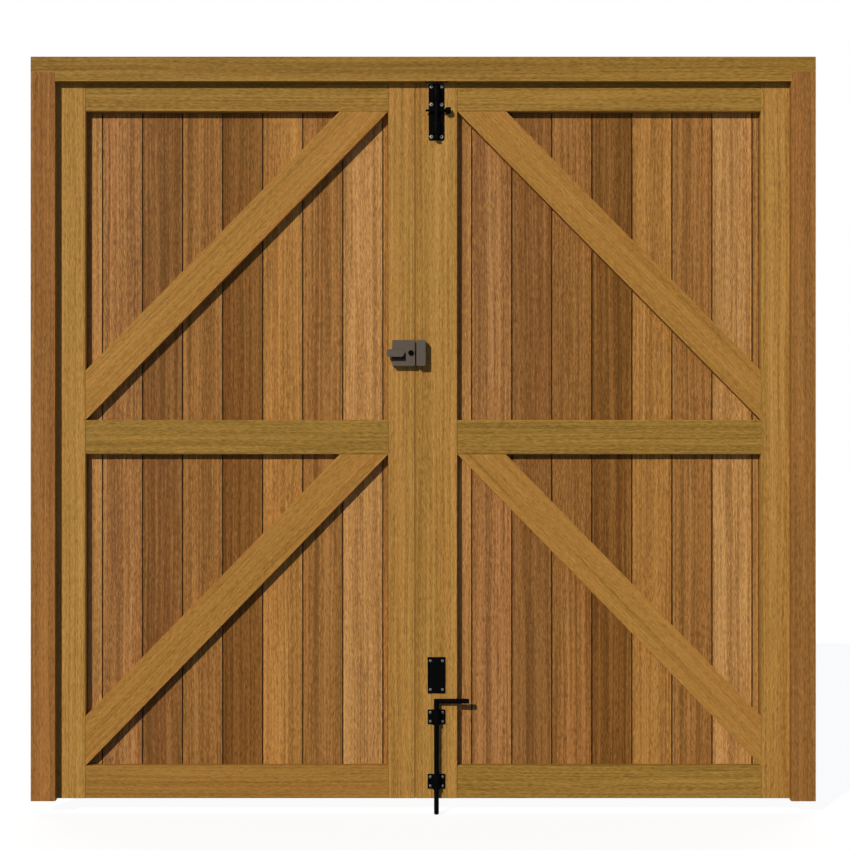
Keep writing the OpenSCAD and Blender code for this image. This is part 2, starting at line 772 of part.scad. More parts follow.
// Half-round saddle round a rod, down to the plate behind it
module saddle(z0, z1) difference() {
    union() {
        rod_along_z(bolt_x, rod_y, z0, z1, guide_r);
        block([bolt_x - guide_r, rod_y, z0], [bolt_x + guide_r, bolt_plate_y, z1]);
    }
    rod_along_z(bolt_x, rod_y, z0 - past, z1 + past, rod_r + rod_fit);
}

module top_bolt_plate() color(iron_black) difference() {
    union() {
        standing(bolt_plate_y, leaf_y) translate([bolt_x, top_plate_z - top_plate_h / 2])
            rounded(top_plate_w, top_plate_h, top_plate_corner_r);
        saddle(top_plate_z - top_guide_inset - top_guide_h, top_plate_z - top_guide_inset);
        saddle(top_plate_bottom + top_guide_inset, top_plate_bottom + top_guide_inset + top_guide_h);
    }
    at_bolt_screws() screw_hole(bolt_screw_l);
}

module bottom_guide(z) color(iron_black) difference() {
    union() {
        standing(bolt_plate_y, leaf_y) translate([bolt_x, z])
            rounded(guide_plate_w, guide_plate_h, guide_corner_r);
        saddle(z - guide_plate_h / 2, z + guide_plate_h / 2);
    }
    at_bolt_screws() screw_hole(bolt_screw_l);
}

module upper_bolt_guide() bottom_guide(upper_guide_z);
module lower_bolt_guide() bottom_guide(lower_guide_z);

module rest_plate() color(iron_black) difference() {
    standing(bolt_plate_y, leaf_y) translate([bolt_x, rest_plate_z])
        rounded(rest_plate_w, rest_plate_h, guide_corner_r);
    at_bolt_screws() screw_hole(bolt_screw_l);
}

// Bevelled end of a rod, along +Z
module rod_end() cylinder(r1 = rod_r, r2 = rod_r - rod_bevel, h = rod_bevel);

module top_bolt_rod() color(iron_black) difference() {
    union() {
        rod_along_z(bolt_x, rod_y, top_plate_bottom + rod_end_drop, top_rod_end - rod_bevel, rod_r);
        translate([bolt_x, rod_y, top_rod_end - rod_bevel]) rod_end();
    }
    rod_along_x(rod_y, knob_z, bolt_x - rod_r - past, bolt_x + rod_r + past, cross_pin_r + shank_fit);
}

// Turned knob on a pin that passes through the rod
module top_bolt_knob() color(iron_black) {
    rod_along_x(rod_y, knob_z, bolt_x - nib_l, bolt_x + knob_reach - knob_l + past, cross_pin_r);
    translate([bolt_x + knob_reach - knob_l, rod_y, knob_z]) rotate([0, 90, 0]) rotate_extrude() polygon([
        [0, 0], [0.45 * knob_r, 0], [0.55 * knob_r, 0.15 * knob_l], [0.9 * knob_r, 0.28 * knob_l],
        [knob_r, 0.4 * knob_l], [knob_r, 0.85 * knob_l], [0.86 * knob_r, knob_l], [0, knob_l],
    ]);
}

// Rod with a square bend to its handle, mitred at the corner
module bottom_bolt_rod() color(iron_black) {
    rod_along_z(bolt_x, rod_y, -bottom_bolt_reach + rod_bevel, crank_z, rod_r);
    translate([bolt_x, rod_y, -bottom_bolt_reach + rod_bevel]) mirror([0, 0, 1]) rod_end();
    intersection() {
        rod_along_z(bolt_x, rod_y, crank_z - rod_r, crank_z + 2 * rod_r, rod_r);
        rod_along_x(rod_y, crank_z, bolt_x - 2 * rod_r, bolt_x + rod_r, rod_r);
    }
    rod_along_x(rod_y, crank_z, bolt_x, bolt_x + crank_l - rod_bevel, rod_r);
    translate([bolt_x + crank_l - rod_bevel, rod_y, crank_z]) rotate([0, 90, 0]) rod_end();
}

// Latch on the left leaf

// Plan of the well that the lever turns in, grown by a margin
module well_plan(grow) {
    translate([pivot_x, latch_z]) circle(hub_r + latch_fit + grow);
    translate([case_x - past, latch_z - well_drop - grow])
        square([pivot_x + well_reach - case_x + past + grow, well_drop + 2 * grow]);
    translate([case_x - past, latch_z - past])
        square([pivot_x - case_x + past, past + lever_h / 2 + latch_fit + grow]);
}

module latch_case() color(case_grey) {
    centre = [case_x + case_w / 2, latch_z];
    difference() {
        standing(case_y, leaf_y) translate(centre) rounded(case_w, case_h, case_corner_r);
        difference() {
            standing(case_y + case_wall, leaf_y + past) translate(centre)
                rounded(case_w - 2 * case_wall, case_h - 2 * case_wall, case_corner_r);
            standing(case_y, case_y + well_d + case_wall) well_plan(case_wall);
        }
        standing(case_y - past, case_y + well_d) well_plan(0);
        rod_along_y(pivot_x, latch_z, case_y, leaf_y, spindle_r + spindle_fit);
        rod_along_y(
            case_edge - button_x, latch_z, case_y - past, case_y + case_wall + past, button_r + latch_fit
        );
        block(
            [case_edge - case_wall - past, inside_y - latch_fit, latch_z - latch_bolt_h / 2 - latch_fit],
            [case_edge + past, inside_y + latch_bolt_t + latch_fit, latch_z + latch_bolt_h / 2 + latch_fit]
        );
    }
}

// Lever with its hub, spindle and the finger that drives the bolt
module latch_lever() color(case_grey) {
    peg_z = latch_z - finger_l;
    standing(lever_y, lever_y + lever_t) {
        translate([pivot_x, latch_z]) circle(hub_r);
        translate([pivot_x - lever_l / 2, latch_z]) rounded(lever_l, lever_h, 3);
    }
    rod_along_y(pivot_x, latch_z, lever_y + lever_t - past, yoke_y + yoke_t, spindle_r);
    block([pivot_x - finger_w / 2, inside_y, peg_z], [pivot_x + finger_w / 2, inside_y + finger_t, latch_z]);
    rod_along_y(pivot_x, peg_z, inside_y, yoke_y + yoke_t, peg_r);
}

// Spring bolt with a bevelled nose and the yoke that the peg moves
module latch_bolt() color(bright_steel) {
    z0 = latch_z - latch_bolt_h / 2;
    translate([0, 0, z0]) linear_extrude(latch_bolt_h) polygon([
        [bolt_back_x, inside_y], [latch_bolt_x - 0.8 * nose_bevel, inside_y],
        [latch_bolt_x, inside_y + nose_bevel], [latch_bolt_x, inside_y + latch_bolt_t],
        [bolt_back_x, inside_y + latch_bolt_t],
    ]);
    difference() {
        block(
            [pivot_x - yoke_side, yoke_y, latch_z - case_h / 2 + case_wall + layer_gap],
            [pivot_x + yoke_reach, yoke_y + yoke_t, z0 + past]
        );
        block(
            [pivot_x - peg_r - latch_fit, yoke_y - past, latch_z - case_h / 2],
            [pivot_x + peg_r + latch_fit, yoke_y + yoke_t + past,
             latch_z - finger_l * cos(lever_turn) + peg_r + latch_fit]
        );
        rod_along_y(pivot_x, latch_z, yoke_y - past, yoke_y + yoke_t + past, spindle_r + latch_fit);
    }
}

// Round button with a collar behind the case's front and a stem
module latch_snib() color(iron_black) {
    x = case_edge - button_x;
    collar_y = case_y + case_wall + latch_fit;
    rod_along_y(x, latch_z, case_y - button_proud, collar_y + collar_t, button_r);
    rod_along_y(x, latch_z, collar_y, collar_y + collar_t, button_r + collar_proud);
    rod_along_y(x, latch_z, collar_y, inside_y - button_travel - latch_fit, stem_r);
}

// Cylinder through the stile, with its rose and keyway on the outside
module latch_cylinder() color(bright_steel) {
    difference() {
        union() {
            rod_along_y(pivot_x, latch_z, cylinder_y, frame_d + past, cylinder_r);
            rod_along_y(pivot_x, latch_z, frame_d, frame_d + rose_t, rose_r);
            rod_along_y(pivot_x, latch_z, frame_d, frame_d + plug_proud, plug_r);
        }
        block(
            [pivot_x - key_w / 2, frame_d - key_d, latch_z - key_h / 2],
            [pivot_x + key_w / 2, frame_d + plug_proud + past, latch_z + key_h / 2]
        );
    }
    block(
        [pivot_x - tail_w / 2, yoke_y + yoke_t + layer_gap, latch_z - tail_t / 2],
        [pivot_x + tail_w / 2, cylinder_y + past, latch_z + tail_t / 2]
    );
}

module latch_keep() color(case_grey) difference() {
    standing(leaf_y - keep_d, leaf_y) translate([keep_x + keep_w / 2, latch_z])
        rounded(keep_w, case_h, case_corner_r);
    block(
        [keep_x - past, inside_y - keep_fit, latch_z - latch_bolt_h / 2 - keep_fit],
        [keep_x + keep_pocket, inside_y + latch_bolt_t + keep_fit, latch_z + latch_bolt_h / 2 + keep_fit]
    );
}

left_jamb();
right_jamb();
head();
top_bolt_keep();
left_hinge_plates();
right_hinge_plates();
left_hinge_pins();
right_hinge_pins();
frame_screws();
left_hanging_stile();
left_meeting_stile();
left_top_rail();
left_middle_rail();
left_bottom_rail();
left_upper_brace();
left_lower_brace();
board(LEFT, 1);  // left_board_1
board(LEFT, 2);  // left_board_2
board(LEFT, 3);  // left_board_3
board(LEFT, 4);  // left_board_4
board(LEFT, 5);  // left_board_5
board(LEFT, 6);  // left_board_6
board(LEFT, 7);  // left_board_7
board(LEFT, 8);  // left_board_8
board(LEFT, 9);  // left_board_9
left_hinge_straps();
left_strap_screws();
latch_case();
latch_cylinder();
right_hanging_stile();
right_meeting_stile();
right_top_rail();
right_middle_rail();
right_bottom_rail();
right_upper_brace();
right_lower_brace();
board(RIGHT, 1);  // right_board_1
board(RIGHT, 2);  // right_board_2
board(RIGHT, 3);  // right_board_3
board(RIGHT, 4);  // right_board_4
board(RIGHT, 5);  // right_board_5
board(RIGHT, 6);  // right_board_6
board(RIGHT, 7);  // right_board_7
board(RIGHT, 8);  // right_board_8
board(RIGHT, 9);  // right_board_9
right_hinge_straps();
right_strap_screws();
latch_keep();
top_bolt_plate();
upper_bolt_guide();
lower_bolt_guide();
rest_plate();
bolt_screws();
top_bolt_rod();
top_bolt_knob();
bottom_bolt_rod();
latch_bolt();
latch_lever();
latch_snib();
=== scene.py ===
"""Looks, light and camera for a pair of garage doors in their timber frame.

The inside of the doors looks towards -Y, and the leaves open towards +Y. Lengths are in metres, and sizes in
millimetres are multiplied by MM where they are stated.
"""
import logging
import math
from collections import defaultdict
from dataclasses import dataclass, field
from enum import Enum
from typing import Any

import bmesh
import bpy
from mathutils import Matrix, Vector


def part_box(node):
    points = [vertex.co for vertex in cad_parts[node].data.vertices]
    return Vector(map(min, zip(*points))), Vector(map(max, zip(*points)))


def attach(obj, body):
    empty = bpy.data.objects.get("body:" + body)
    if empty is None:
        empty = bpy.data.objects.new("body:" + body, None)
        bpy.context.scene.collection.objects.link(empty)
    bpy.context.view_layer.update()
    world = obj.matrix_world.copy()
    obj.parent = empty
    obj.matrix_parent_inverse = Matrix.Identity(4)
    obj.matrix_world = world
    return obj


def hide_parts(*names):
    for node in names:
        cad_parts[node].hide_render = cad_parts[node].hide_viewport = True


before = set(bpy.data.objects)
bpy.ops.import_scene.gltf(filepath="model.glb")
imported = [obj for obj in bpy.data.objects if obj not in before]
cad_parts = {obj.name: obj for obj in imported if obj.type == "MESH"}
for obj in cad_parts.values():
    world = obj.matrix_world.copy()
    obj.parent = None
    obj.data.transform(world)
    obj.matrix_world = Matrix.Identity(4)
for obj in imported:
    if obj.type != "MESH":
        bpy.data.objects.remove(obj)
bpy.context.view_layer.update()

MM = 0.001
log = logging.getLogger("garage_doors")

Colour = tuple[float, float, float, float]
WHITE: Colour = (1.0, 1.0, 1.0, 1.0)


def linear(hex_colour: str) -> Colour:
    """Turns an sRGB hex colour into linear light.

    Args:
        hex_colour: The colour as "#RRGGBB".

    Returns:
        Linear red, green and blue, and an alpha of 1.
    """
    shares = [int(hex_colour[i:i + 2], 16) / 255 for i in (1, 3, 5)]
    red, green, blue = (s / 12.92 if s <= 0.04045 else ((s + 0.055) / 1.055) ** 2.4 for s in shares)
    return red, green, blue, 1.0


def add_node(tree: bpy.types.NodeTree, kind: str, values: dict[Any, Any] | None = None, **settings: Any) -> Any:
    """Adds one node to a shader tree or a geometry tree.

    Args:
        tree: The tree that takes the node.
        kind: The node type's identifier.
        values: What each input takes, by its name or number: a plain value, or another node's output.
        settings: The node's own properties.

    Returns:
        The new node.
    """
    node = tree.nodes.new(kind)
    for name, value in settings.items():
        setattr(node, name, value)
    for key, value in (values or {}).items():
        if isinstance(value, bpy.types.NodeSocket):
            tree.links.new(value, node.inputs[key])
        else:
            node.inputs[key].default_value = value
    return node


# Numbers of the colour mixing node's sockets
MIX_SHARE, MIX_FIRST, MIX_SECOND, MIX_RESULT = 0, 6, 7, 2


class Side(Enum):
    """The two leaves, seen from inside the garage."""

    LEFT = "left"
    RIGHT = "right"


class Grain(Enum):
    """Turn about Y, in degrees, that stands a timber's length upright."""

    UPRIGHT = 0.0
    LEVEL = 90.0


@dataclass(frozen=True)
class Finish:
    """A surface finish, named for what the real piece has."""

    name: str

    def dress(self, tree: bpy.types.NodeTree, shader: Any) -> None:
        """Wires the finish into the shader; each kind of finish has its own.

        Args:
            tree: The material's tree.
            shader: Its surface shader.
        """
        raise NotImplementedError

    def material(self) -> bpy.types.Material:
        """Makes the finish's material, or finds it if it was made before.

        Returns:
            The material.
        """
        found = bpy.data.materials.get(self.name)
        if found:
            return found
        made = bpy.data.materials.new(self.name)
        made.use_nodes = True
        tree = made.node_tree
        tree.nodes.clear()
        shader = add_node(tree, "ShaderNodeBsdfPrincipled")
        self.dress(tree, shader)
        add_node(tree, "ShaderNodeOutputMaterial", {"Surface": shader.outputs["BSDF"]})
        return made

    def put_on(self, *pieces: bpy.types.Object) -> None:
        """Gives the finish to whole pieces.

        Args:
            pieces: The pieces that take it.
        """
        for piece in pieces:
            if not piece.material_slots:
                piece.data.materials.append(None)
            for place in piece.material_slots:
                place.material = self.material()


@dataclass(frozen=True)
class Layer:
    """One layer of a timber's grain: its cells' width and length in mm, and the octaves of its noise."""

    width: float
    length: float
    octaves: float

    @property
    def scale(self) -> tuple[float, float, float]:
        """Cells in a metre: twice across the grain, and once along it."""
        return 1 / (self.width * MM), 1 / (self.width * MM), 1 / (self.length * MM)


# Slow wandering of the grain along a timber, and how far it goes to the side
DRIFT = Layer(200.0, 625.0, 1.0)
DRIFT_REACH = 14 * MM
# Growth bands that run the whole length, and how many ring lines the range of their noise makes
BANDS = Layer(25.0, 2000.0, 1.0)
RING_LINES = 11.0
# Streaks, 17 in 100 mm and over a metre long
STREAKS = Layer(100 / 17, 10000 / 9, 3.0)
# Fibres and pores are about 0.2 mm wide in real timber, and are drawn over 1 mm wide so that they show
FIBRES = Layer(100 / 62, 100 / 6, 1.0)
PORES = Layer(100 / 76, 12.5, 0.0)
# Patches of warmer heartwood
PATCHES = Layer(500 / 7, 10000 / 9, 1.0)

# Metres by which each count of a seed moves the grain
SEED_STEP = (0.37, 0.61, 1.3)
# Values that nearly all of a noise lies between
NOISE_SPREAD = (0.3, 0.7)
# Where the deep, middle and pale tones stand on the ramp from dark to light
TONE_STOPS = (0.24, 0.5, 0.78)
# Values of their noises over which a patch and a pore fade in
PATCH_EDGE = (0.48, 0.68)
PORE_EDGE = (0.57, 0.7)
# How squarely a face looks along the grain where the end grain's tone begins and is complete
END_EDGE = (0.72, 0.82)
# Product of a face's two sideways parts, which is 0 on flat faces and 0.5 on a bevel at 45 degrees
BEVEL_EDGE = (0.2, 0.4)


@dataclass(frozen=True)
class Timber(Finish):
    """Oiled softwood or hardwood with straight grain, pores and darker end grain.

    Attributes:
        tone: Colour of most of the wood.
        deep: Colour of its darkest streaks.
        pale: Colour of its lightest streaks.
        turn: Turn about Y, in degrees, that stands the timber's length upright.
        seed: Moves the grain, so that no two timbers have the same lines.
        blush: What the warmer heartwood multiplies the colour by.
        blush_share: How much of the blush its patches take.
        band: Strength of the broad growth bands.
        figure: Strength of the ring lines in them.
        streak: Strength of the long streaks.
        fibre: Strength of the short fibres.
        pore_shade: How much darker a pore is.
        end_tone: What the sawn ends multiply the colour by.
        joint_shade: How much darker the bevelled joints between boards are, for their old oil and as painted shade in
            the grooves, or 0 where there are none.
        roughness: Roughness of the dark streaks and of the pale ones.
        shine: Strength of the oil's mirror light.
        relief: Depth of the grain in mm.
    """

    tone: str
    deep: str
    pale: str
    turn: float = Grain.UPRIGHT.value
    seed: float = 0.0
    blush: tuple[float, float, float] = (1.08, 0.95, 0.96)
    blush_share: float = 0.5
    band: float = 0.4
    figure: float = 0.12
    streak: float = 0.85
    fibre: float = 1.0
    pore_shade: float = 0.22
    end_tone: float = 0.55
    joint_shade: float = 0.0
    roughness: tuple[float, float] = (0.68, 0.54)
    shine: float = 0.1
    relief: float = 0.25

    def dress(self, tree: bpy.types.NodeTree, shader: Any) -> None:
        """Wires the grain into the shader.

        Args:
            tree: The material's tree.
            shader: Its surface shader.
        """
        turn = (0.0, math.radians(self.turn), 0.0)
        here = add_node(tree, "ShaderNodeTexCoord").outputs
        stood = add_node(tree, "ShaderNodeMapping", {
            "Vector": here["Object"], "Rotation": turn,
            "Location": tuple(step * self.seed for step in SEED_STEP),
        }).outputs["Vector"]
        facing = add_node(tree, "ShaderNodeMapping", {"Vector": here["Normal"], "Rotation": turn},
                          vector_type="NORMAL")
        axes = add_node(tree, "ShaderNodeSeparateXYZ", {"Vector": facing.outputs["Vector"]}).outputs

        swayed = self.swayed(tree, stood)
        streaks = self.stretched(tree, swayed, STREAKS)
        fibres = self.stretched(tree, swayed, FIBRES)
        pores = self.pores(tree, swayed)
        colour = self.blushed(tree, stood, self.grained(tree, swayed, streaks, fibres))
        shades = [pores, self.end_grain(tree, axes)]
        # The bevelled joints are darkened, partly for old oil and partly as painted shade in the grooves
        if self.joint_shade:
            shades.append(self.joints(tree, axes))
        for shade in shades:
            colour = add_node(tree, "ShaderNodeVectorMath", {0: colour, "Scale": shade},
                              operation="SCALE").outputs["Vector"]
        tree.links.new(colour, shader.inputs["Base Color"])

        polish = add_node(tree, "ShaderNodeMapRange", {
            "Value": streaks, "From Min": NOISE_SPREAD[0], "From Max": NOISE_SPREAD[1],
            "To Min": self.roughness[0], "To Max": self.roughness[1],
        })
        tree.links.new(polish.outputs["Result"], shader.inputs["Roughness"])
        shader.inputs["Specular IOR Level"].default_value = self.shine
        height = add_node(tree, "ShaderNodeMath", {0: fibres, 1: 0.5, 2: pores}, operation="MULTIPLY_ADD")
        bump = add_node(tree, "ShaderNodeBump", {
            "Height": height.outputs[0], "Strength": 0.5, "Distance": self.relief * MM,
        })
        tree.links.new(bump.outputs["Normal"], shader.inputs["Normal"])

    @staticmethod
    def stretched(tree: bpy.types.NodeTree, place: Any, layer: Layer) -> Any:
        """Noise that is drawn out along the grain.

        Args:
            tree: The material's tree.
            place: Position in the timber, with its length along Z.
            layer: The layer of grain.

        Returns:
            The noise's value, about 0.5 on average.
        """
        scaled = add_node(tree, "ShaderNodeMapping", {"Vector": place, "Scale": layer.scale})
        return add_node(tree, "ShaderNodeTexNoise", {
            "Vector": scaled.outputs["Vector"], "Scale": 1.0, "Detail": layer.octaves, "Roughness": 0.55,
        }).outputs["Fac"]

    @staticmethod
    def swayed(tree: bpy.types.NodeTree, stood: Any) -> Any:
        """Lets the grain wander a few millimetres to the side along a timber.

        Args:
            tree: The material's tree.
            stood: Position in the timber, with its length along Z.

        Returns:
            The position moved sideways.
        """
        drift = add_node(tree, "ShaderNodeMapping", {"Vector": stood, "Scale": DRIFT.scale})
        sway = add_node(tree, "ShaderNodeTexNoise", {
            "Vector": drift.outputs["Vector"], "Scale": 1.0, "Detail": DRIFT.octaves,
        })
        return add_node(tree, "ShaderNodeVectorMath", {
            0: sway.outputs["Color"], 1: (DRIFT_REACH, DRIFT_REACH, 0.0), 2: stood,
        }, operation="MULTIPLY_ADD").outputs["Vector"]

    def grained(self, tree: bpy.types.NodeTree, swayed: Any, streaks: Any, fibres: Any) -> Any:
        """Mixes the layers of grain and turns them into the timber's tones.

        Args:
            tree: The material's tree.
            swayed: Position in the timber, with the grain's wandering.
            streaks: Noise of the streaks.
            fibres: Noise of the fibres.

        Returns:
            The colour.
        """
        bands = self.stretched(tree, swayed, BANDS)
        # Growth rings show as fine lines that follow the bands
        rings = add_node(tree, "ShaderNodeMath", {0: bands, 1: RING_LINES}, operation="MULTIPLY")
        rings = add_node(tree, "ShaderNodeMath", {0: rings.outputs[0], 1: 0.5}, operation="PINGPONG")

        # Each layer adds its strength times how far it is from its own average
        layers = ((bands, self.band, 0.5), (streaks, self.streak, 0.5), (fibres, self.fibre, 0.5),
                  (rings.outputs[0], self.figure, 0.25))
        mixed: Any = 0.5 - sum(strength * average for _, strength, average in layers)
        for layer, strength, _ in layers:
            mixed = add_node(tree, "ShaderNodeMath", {0: layer, 1: strength, 2: mixed},
                             operation="MULTIPLY_ADD").outputs[0]

        tones = add_node(tree, "ShaderNodeValToRGB", {"Fac": mixed})
        stops = tones.color_ramp.elements
        dark, middle, light = TONE_STOPS
        stops[0].position, stops[0].color = dark, linear(self.deep)
        stops[1].position, stops[1].color = light, linear(self.pale)
        stops.new(middle).color = linear(self.tone)
        return tones.outputs["Color"]

    def blushed(self, tree: bpy.types.NodeTree, stood: Any, colour: Any) -> Any:
        """Warms the heartwood in broad, soft patches.

        Args:
            tree: The material's tree.
            stood: Position in the timber, with its length along Z.
            colour: The colour's output.

        Returns:
            The warmed colour.
        """
        share = add_node(tree, "ShaderNodeMapRange", {
            "Value": self.stretched(tree, stood, PATCHES), "From Min": PATCH_EDGE[0], "From Max": PATCH_EDGE[1],
            "To Min": 0.0, "To Max": self.blush_share,
        })
        return add_node(tree, "ShaderNodeMix", {
            MIX_SHARE: share.outputs["Result"], MIX_FIRST: colour, MIX_SECOND: (*self.blush, 1.0),
        }, data_type="RGBA", blend_type="MULTIPLY").outputs[MIX_RESULT]

    def pores(self, tree: bpy.types.NodeTree, swayed: Any) -> Any:
        """Opens short dark pores.

        Args:
            tree: The material's tree.
            swayed: Position in the timber, with the grain's wandering.

        Returns:
            1 between the pores and less inside them.
        """
        return add_node(tree, "ShaderNodeMapRange", {
            "Value": self.stretched(tree, swayed, PORES), "From Min": PORE_EDGE[0], "From Max": PORE_EDGE[1],
            "To Min": 1.0, "To Max": 1.0 - self.pore_shade,
        }).outputs["Result"]

    def end_grain(self, tree: bpy.types.NodeTree, axes: Any) -> Any:
        """Darkens the sawn ends, which soak up more oil.

        Args:
            tree: The material's tree.
            axes: The way a face looks, with the timber's length along Z.

        Returns:
            1 on the sides and less on the ends.
        """
        along = add_node(tree, "ShaderNodeMath", {0: axes["Z"]}, operation="ABSOLUTE")
        return add_node(tree, "ShaderNodeMapRange", {
            "Value": along.outputs[0], "From Min": END_EDGE[0], "From Max": END_EDGE[1],
            "To Min": 1.0, "To Max": self.end_tone,
        }).outputs["Result"]

    def joints(self, tree: bpy.types.NodeTree, axes: Any) -> Any:
        """Darkens the bevelled joints between boards, for the old oil and dust they hold and as painted shade in the
        grooves.

        Args:
            tree: The material's tree.
            axes: The way a face looks, with the timber's length along Z.

        Returns:
            1 on flat faces and less on bevels.
        """
        bevel = add_node(tree, "ShaderNodeMath", {0: axes["X"], 1: axes["Y"]}, operation="MULTIPLY")
        bevel = add_node(tree, "ShaderNodeMath", {0: bevel.outputs[0]}, operation="ABSOLUTE")
        return add_node(tree, "ShaderNodeMapRange", {
            "Value": bevel.outputs[0], "From Min": BEVEL_EDGE[0], "From Max": BEVEL_EDGE[1],
            "To Min": 1.0, "To Max": 1.0 - self.joint_shade,
        }).outputs["Result"]


@dataclass(frozen=True)
class BoardTimber(Timber):
    """Oiled board with a livelier grain than the framing, and near-black bevelled joints: old oil in them, and painted
    shade in the grooves.
    """

    blush_share: float = 0.4
    band: float = 0.7
    streak: float = 1.05
    fibre: float = 1.2
    pore_shade: float = 0.3
    joint_shade: float = 0.96


# Width in mm of the soft mottling on metal and enamel, and the values over which its patches fade in
MOTTLE = 26.3
MOTTLE_EDGE = (0.5, 0.75)
# How far the fine grain moves the roughness either way
GLOSS_SPREAD = 0.07


@dataclass(frozen=True)
class Mottled(Finish):
    """Plating, paint, enamel, pile or painted shade, with soft mottling and a fine uneven surface.

    Attributes:
        tone: Colour of most of the surface.
        worn: Colour of its worn or dusty patches.
        metallic: 1 for bare metal, less under a dull skin, and 0 for what isn't metal.
        roughness: Average roughness.
        specular: Strength of the mirror light.
        grit: Spacing of the fine grain in mm.
        relief: Depth of the fine grain in mm.
        wear: How much of the worn colour the patches take.
        front: Place along Y behind which faces that look out of the front take painted shade.
        inside: Colour of that painted shade, near black.
    """

    tone: str
    worn: str
    metallic: float
    roughness: float
    specular: float
    grit: float
    relief: float
    wear: float = 0.35
    front: float | None = None
    # Colour of the painted shade inside a well: near black, standing in for the shade there
    inside: str = "#0D0B0A"

    def dress(self, tree: bpy.types.NodeTree, shader: Any) -> None:
        """Wires the mottling and the uneven surface into the shader.

        Args:
            tree: The material's tree.
            shader: Its surface shader.
        """
        here = add_node(tree, "ShaderNodeTexCoord").outputs
        mottle = add_node(tree, "ShaderNodeTexNoise", {
            "Vector": here["Object"], "Scale": 1 / (MOTTLE * MM), "Detail": 4.0,
        })
        worn = add_node(tree, "ShaderNodeMapRange", {
            "Value": mottle.outputs["Fac"], "From Min": MOTTLE_EDGE[0], "From Max": MOTTLE_EDGE[1],
            "To Min": 0.0, "To Max": self.wear,
        })
        colour = add_node(tree, "ShaderNodeMix", {
            MIX_SHARE: worn.outputs["Result"], MIX_FIRST: linear(self.tone), MIX_SECOND: linear(self.worn),
        }, data_type="RGBA", blend_type="MIX").outputs[MIX_RESULT]
        # Painted shade: faces deep in the well are coloured near black instead of being left to the light
        if self.front is not None:
            colour = self.painted_well_shade(tree, here, colour)
        tree.links.new(colour, shader.inputs["Base Color"])

        peel = add_node(tree, "ShaderNodeTexNoise", {
            "Vector": here["Object"], "Scale": 1 / (self.grit * MM), "Detail": 2.0,
        })
        gloss = add_node(tree, "ShaderNodeMapRange", {
            "Value": peel.outputs["Fac"], "From Min": NOISE_SPREAD[0], "From Max": NOISE_SPREAD[1],
            "To Min": self.roughness - GLOSS_SPREAD, "To Max": self.roughness + GLOSS_SPREAD,
        })
        tree.links.new(gloss.outputs["Result"], shader.inputs["Roughness"])
        bump = add_node(tree, "ShaderNodeBump", {
            "Height": peel.outputs["Fac"], "Strength": 0.4, "Distance": self.relief * MM,
        })
        tree.links.new(bump.outputs["Normal"], shader.inputs["Normal"])
        shader.inputs["Metallic"].default_value = self.metallic
        shader.inputs["Specular IOR Level"].default_value = self.specular

    def painted_well_shade(self, tree: bpy.types.NodeTree, here: Any, colour: Any) -> Any:
        """Blackens the faces that look out of the front but lie behind it.

        Args:
            tree: The material's tree.
            here: Outputs of the texture coordinates.
            colour: The colour's output.

        Returns:
            The colour, with painted shade on the faces inside.
        """
        # Painted shade: faces behind the front that look out of it take the near-black colour
        depth = add_node(tree, "ShaderNodeSeparateXYZ", {"Vector": here["Object"]})
        behind = add_node(tree, "ShaderNodeMath", {0: depth.outputs["Y"], 1: self.front}, operation="GREATER_THAN")
        facing = add_node(tree, "ShaderNodeSeparateXYZ", {"Vector": here["Normal"]})
        facing = add_node(tree, "ShaderNodeMath", {0: facing.outputs["Y"], 1: -0.5}, operation="LESS_THAN")
        share = add_node(tree, "ShaderNodeMath", {0: behind.outputs[0], 1: facing.outputs[0]}, operation="MULTIPLY")
        return add_node(tree, "ShaderNodeMix", {
            MIX_SHARE: share.outputs[0], MIX_FIRST: colour, MIX_SECOND: linear(self.inside),
        }, data_type="RGBA", blend_type="MIX").outputs[MIX_RESULT]


# Posts in oiled redwood: a warm red-brown, with fine lines that stand upright
POST_TIMBER = Timber("oiled_redwood_post", "#906230", "#744E24", "#A8763F", seed=1.0)
# Head in oiled oak: a duller olive gold, with level lines
HEAD_TIMBER = Timber("oiled_oak_head", "#8F6B2D", "#735520", "#A6803C", Grain.LEVEL.value, seed=2.0, blush_share=0.3)
# Stiles in oiled golden hardwood: the brightest timber, with fine lines that stand upright
STILE_TIMBER = Timber("oiled_golden_stile", "#A57A3A", "#845F2B", "#BA8D4D", seed=3.0, blush_share=0.35)
# Rails in the head's oak: level olive bars between the golden stiles
RAIL_TIMBER = Timber("oiled_oak_rail", "#906D2F", "#735721", "#A88340", Grain.LEVEL.value, seed=4.0, blush_share=0.3)
# Left bottom rail in golden hardwood: warmer than the other rails, and calmer
SILL_TIMBER = Timber("oiled_golden_bottom_rail", "#9A7032", "#7D5926", "#AF8144", Grain.LEVEL.value, seed=5.0,
                     streak=0.65, fibre=0.75)
# Tones of the braces in golden hardwood: calm, with lines that follow their slope
BRACE_TONES = ("#A27434", "#835E29", "#B68849")

# Tones of the boards, from the left of either leaf to its right. Each is cut from another plank, so they step
# between straw, red-brown and dark brown
BOARD_TONES = (
    ("#A67640", "#875D30", "#BD8D55"), ("#976836", "#764F2E", "#B48252"), ("#82572A", "#68441F", "#9A6C3C"),
    ("#8F612E", "#734C23", "#AB7944"), ("#794F1F", "#603D17", "#906331"), ("#A57339", "#855C2B", "#BB8A4B"),
    ("#8F612E", "#724D23", "#AA7945"), ("#AC7C46", "#8B6236", "#C5965D"), ("#9C6D38", "#7E562B", "#B6844C"),
)

# Bolts in black japanned iron: near black, with hardly any shine
BLACK_IRON = Mottled("black_japanned_iron", "#040405", "#0B0B0C", 0.0, 0.5, 0.02, grit=2.38, relief=0.1)
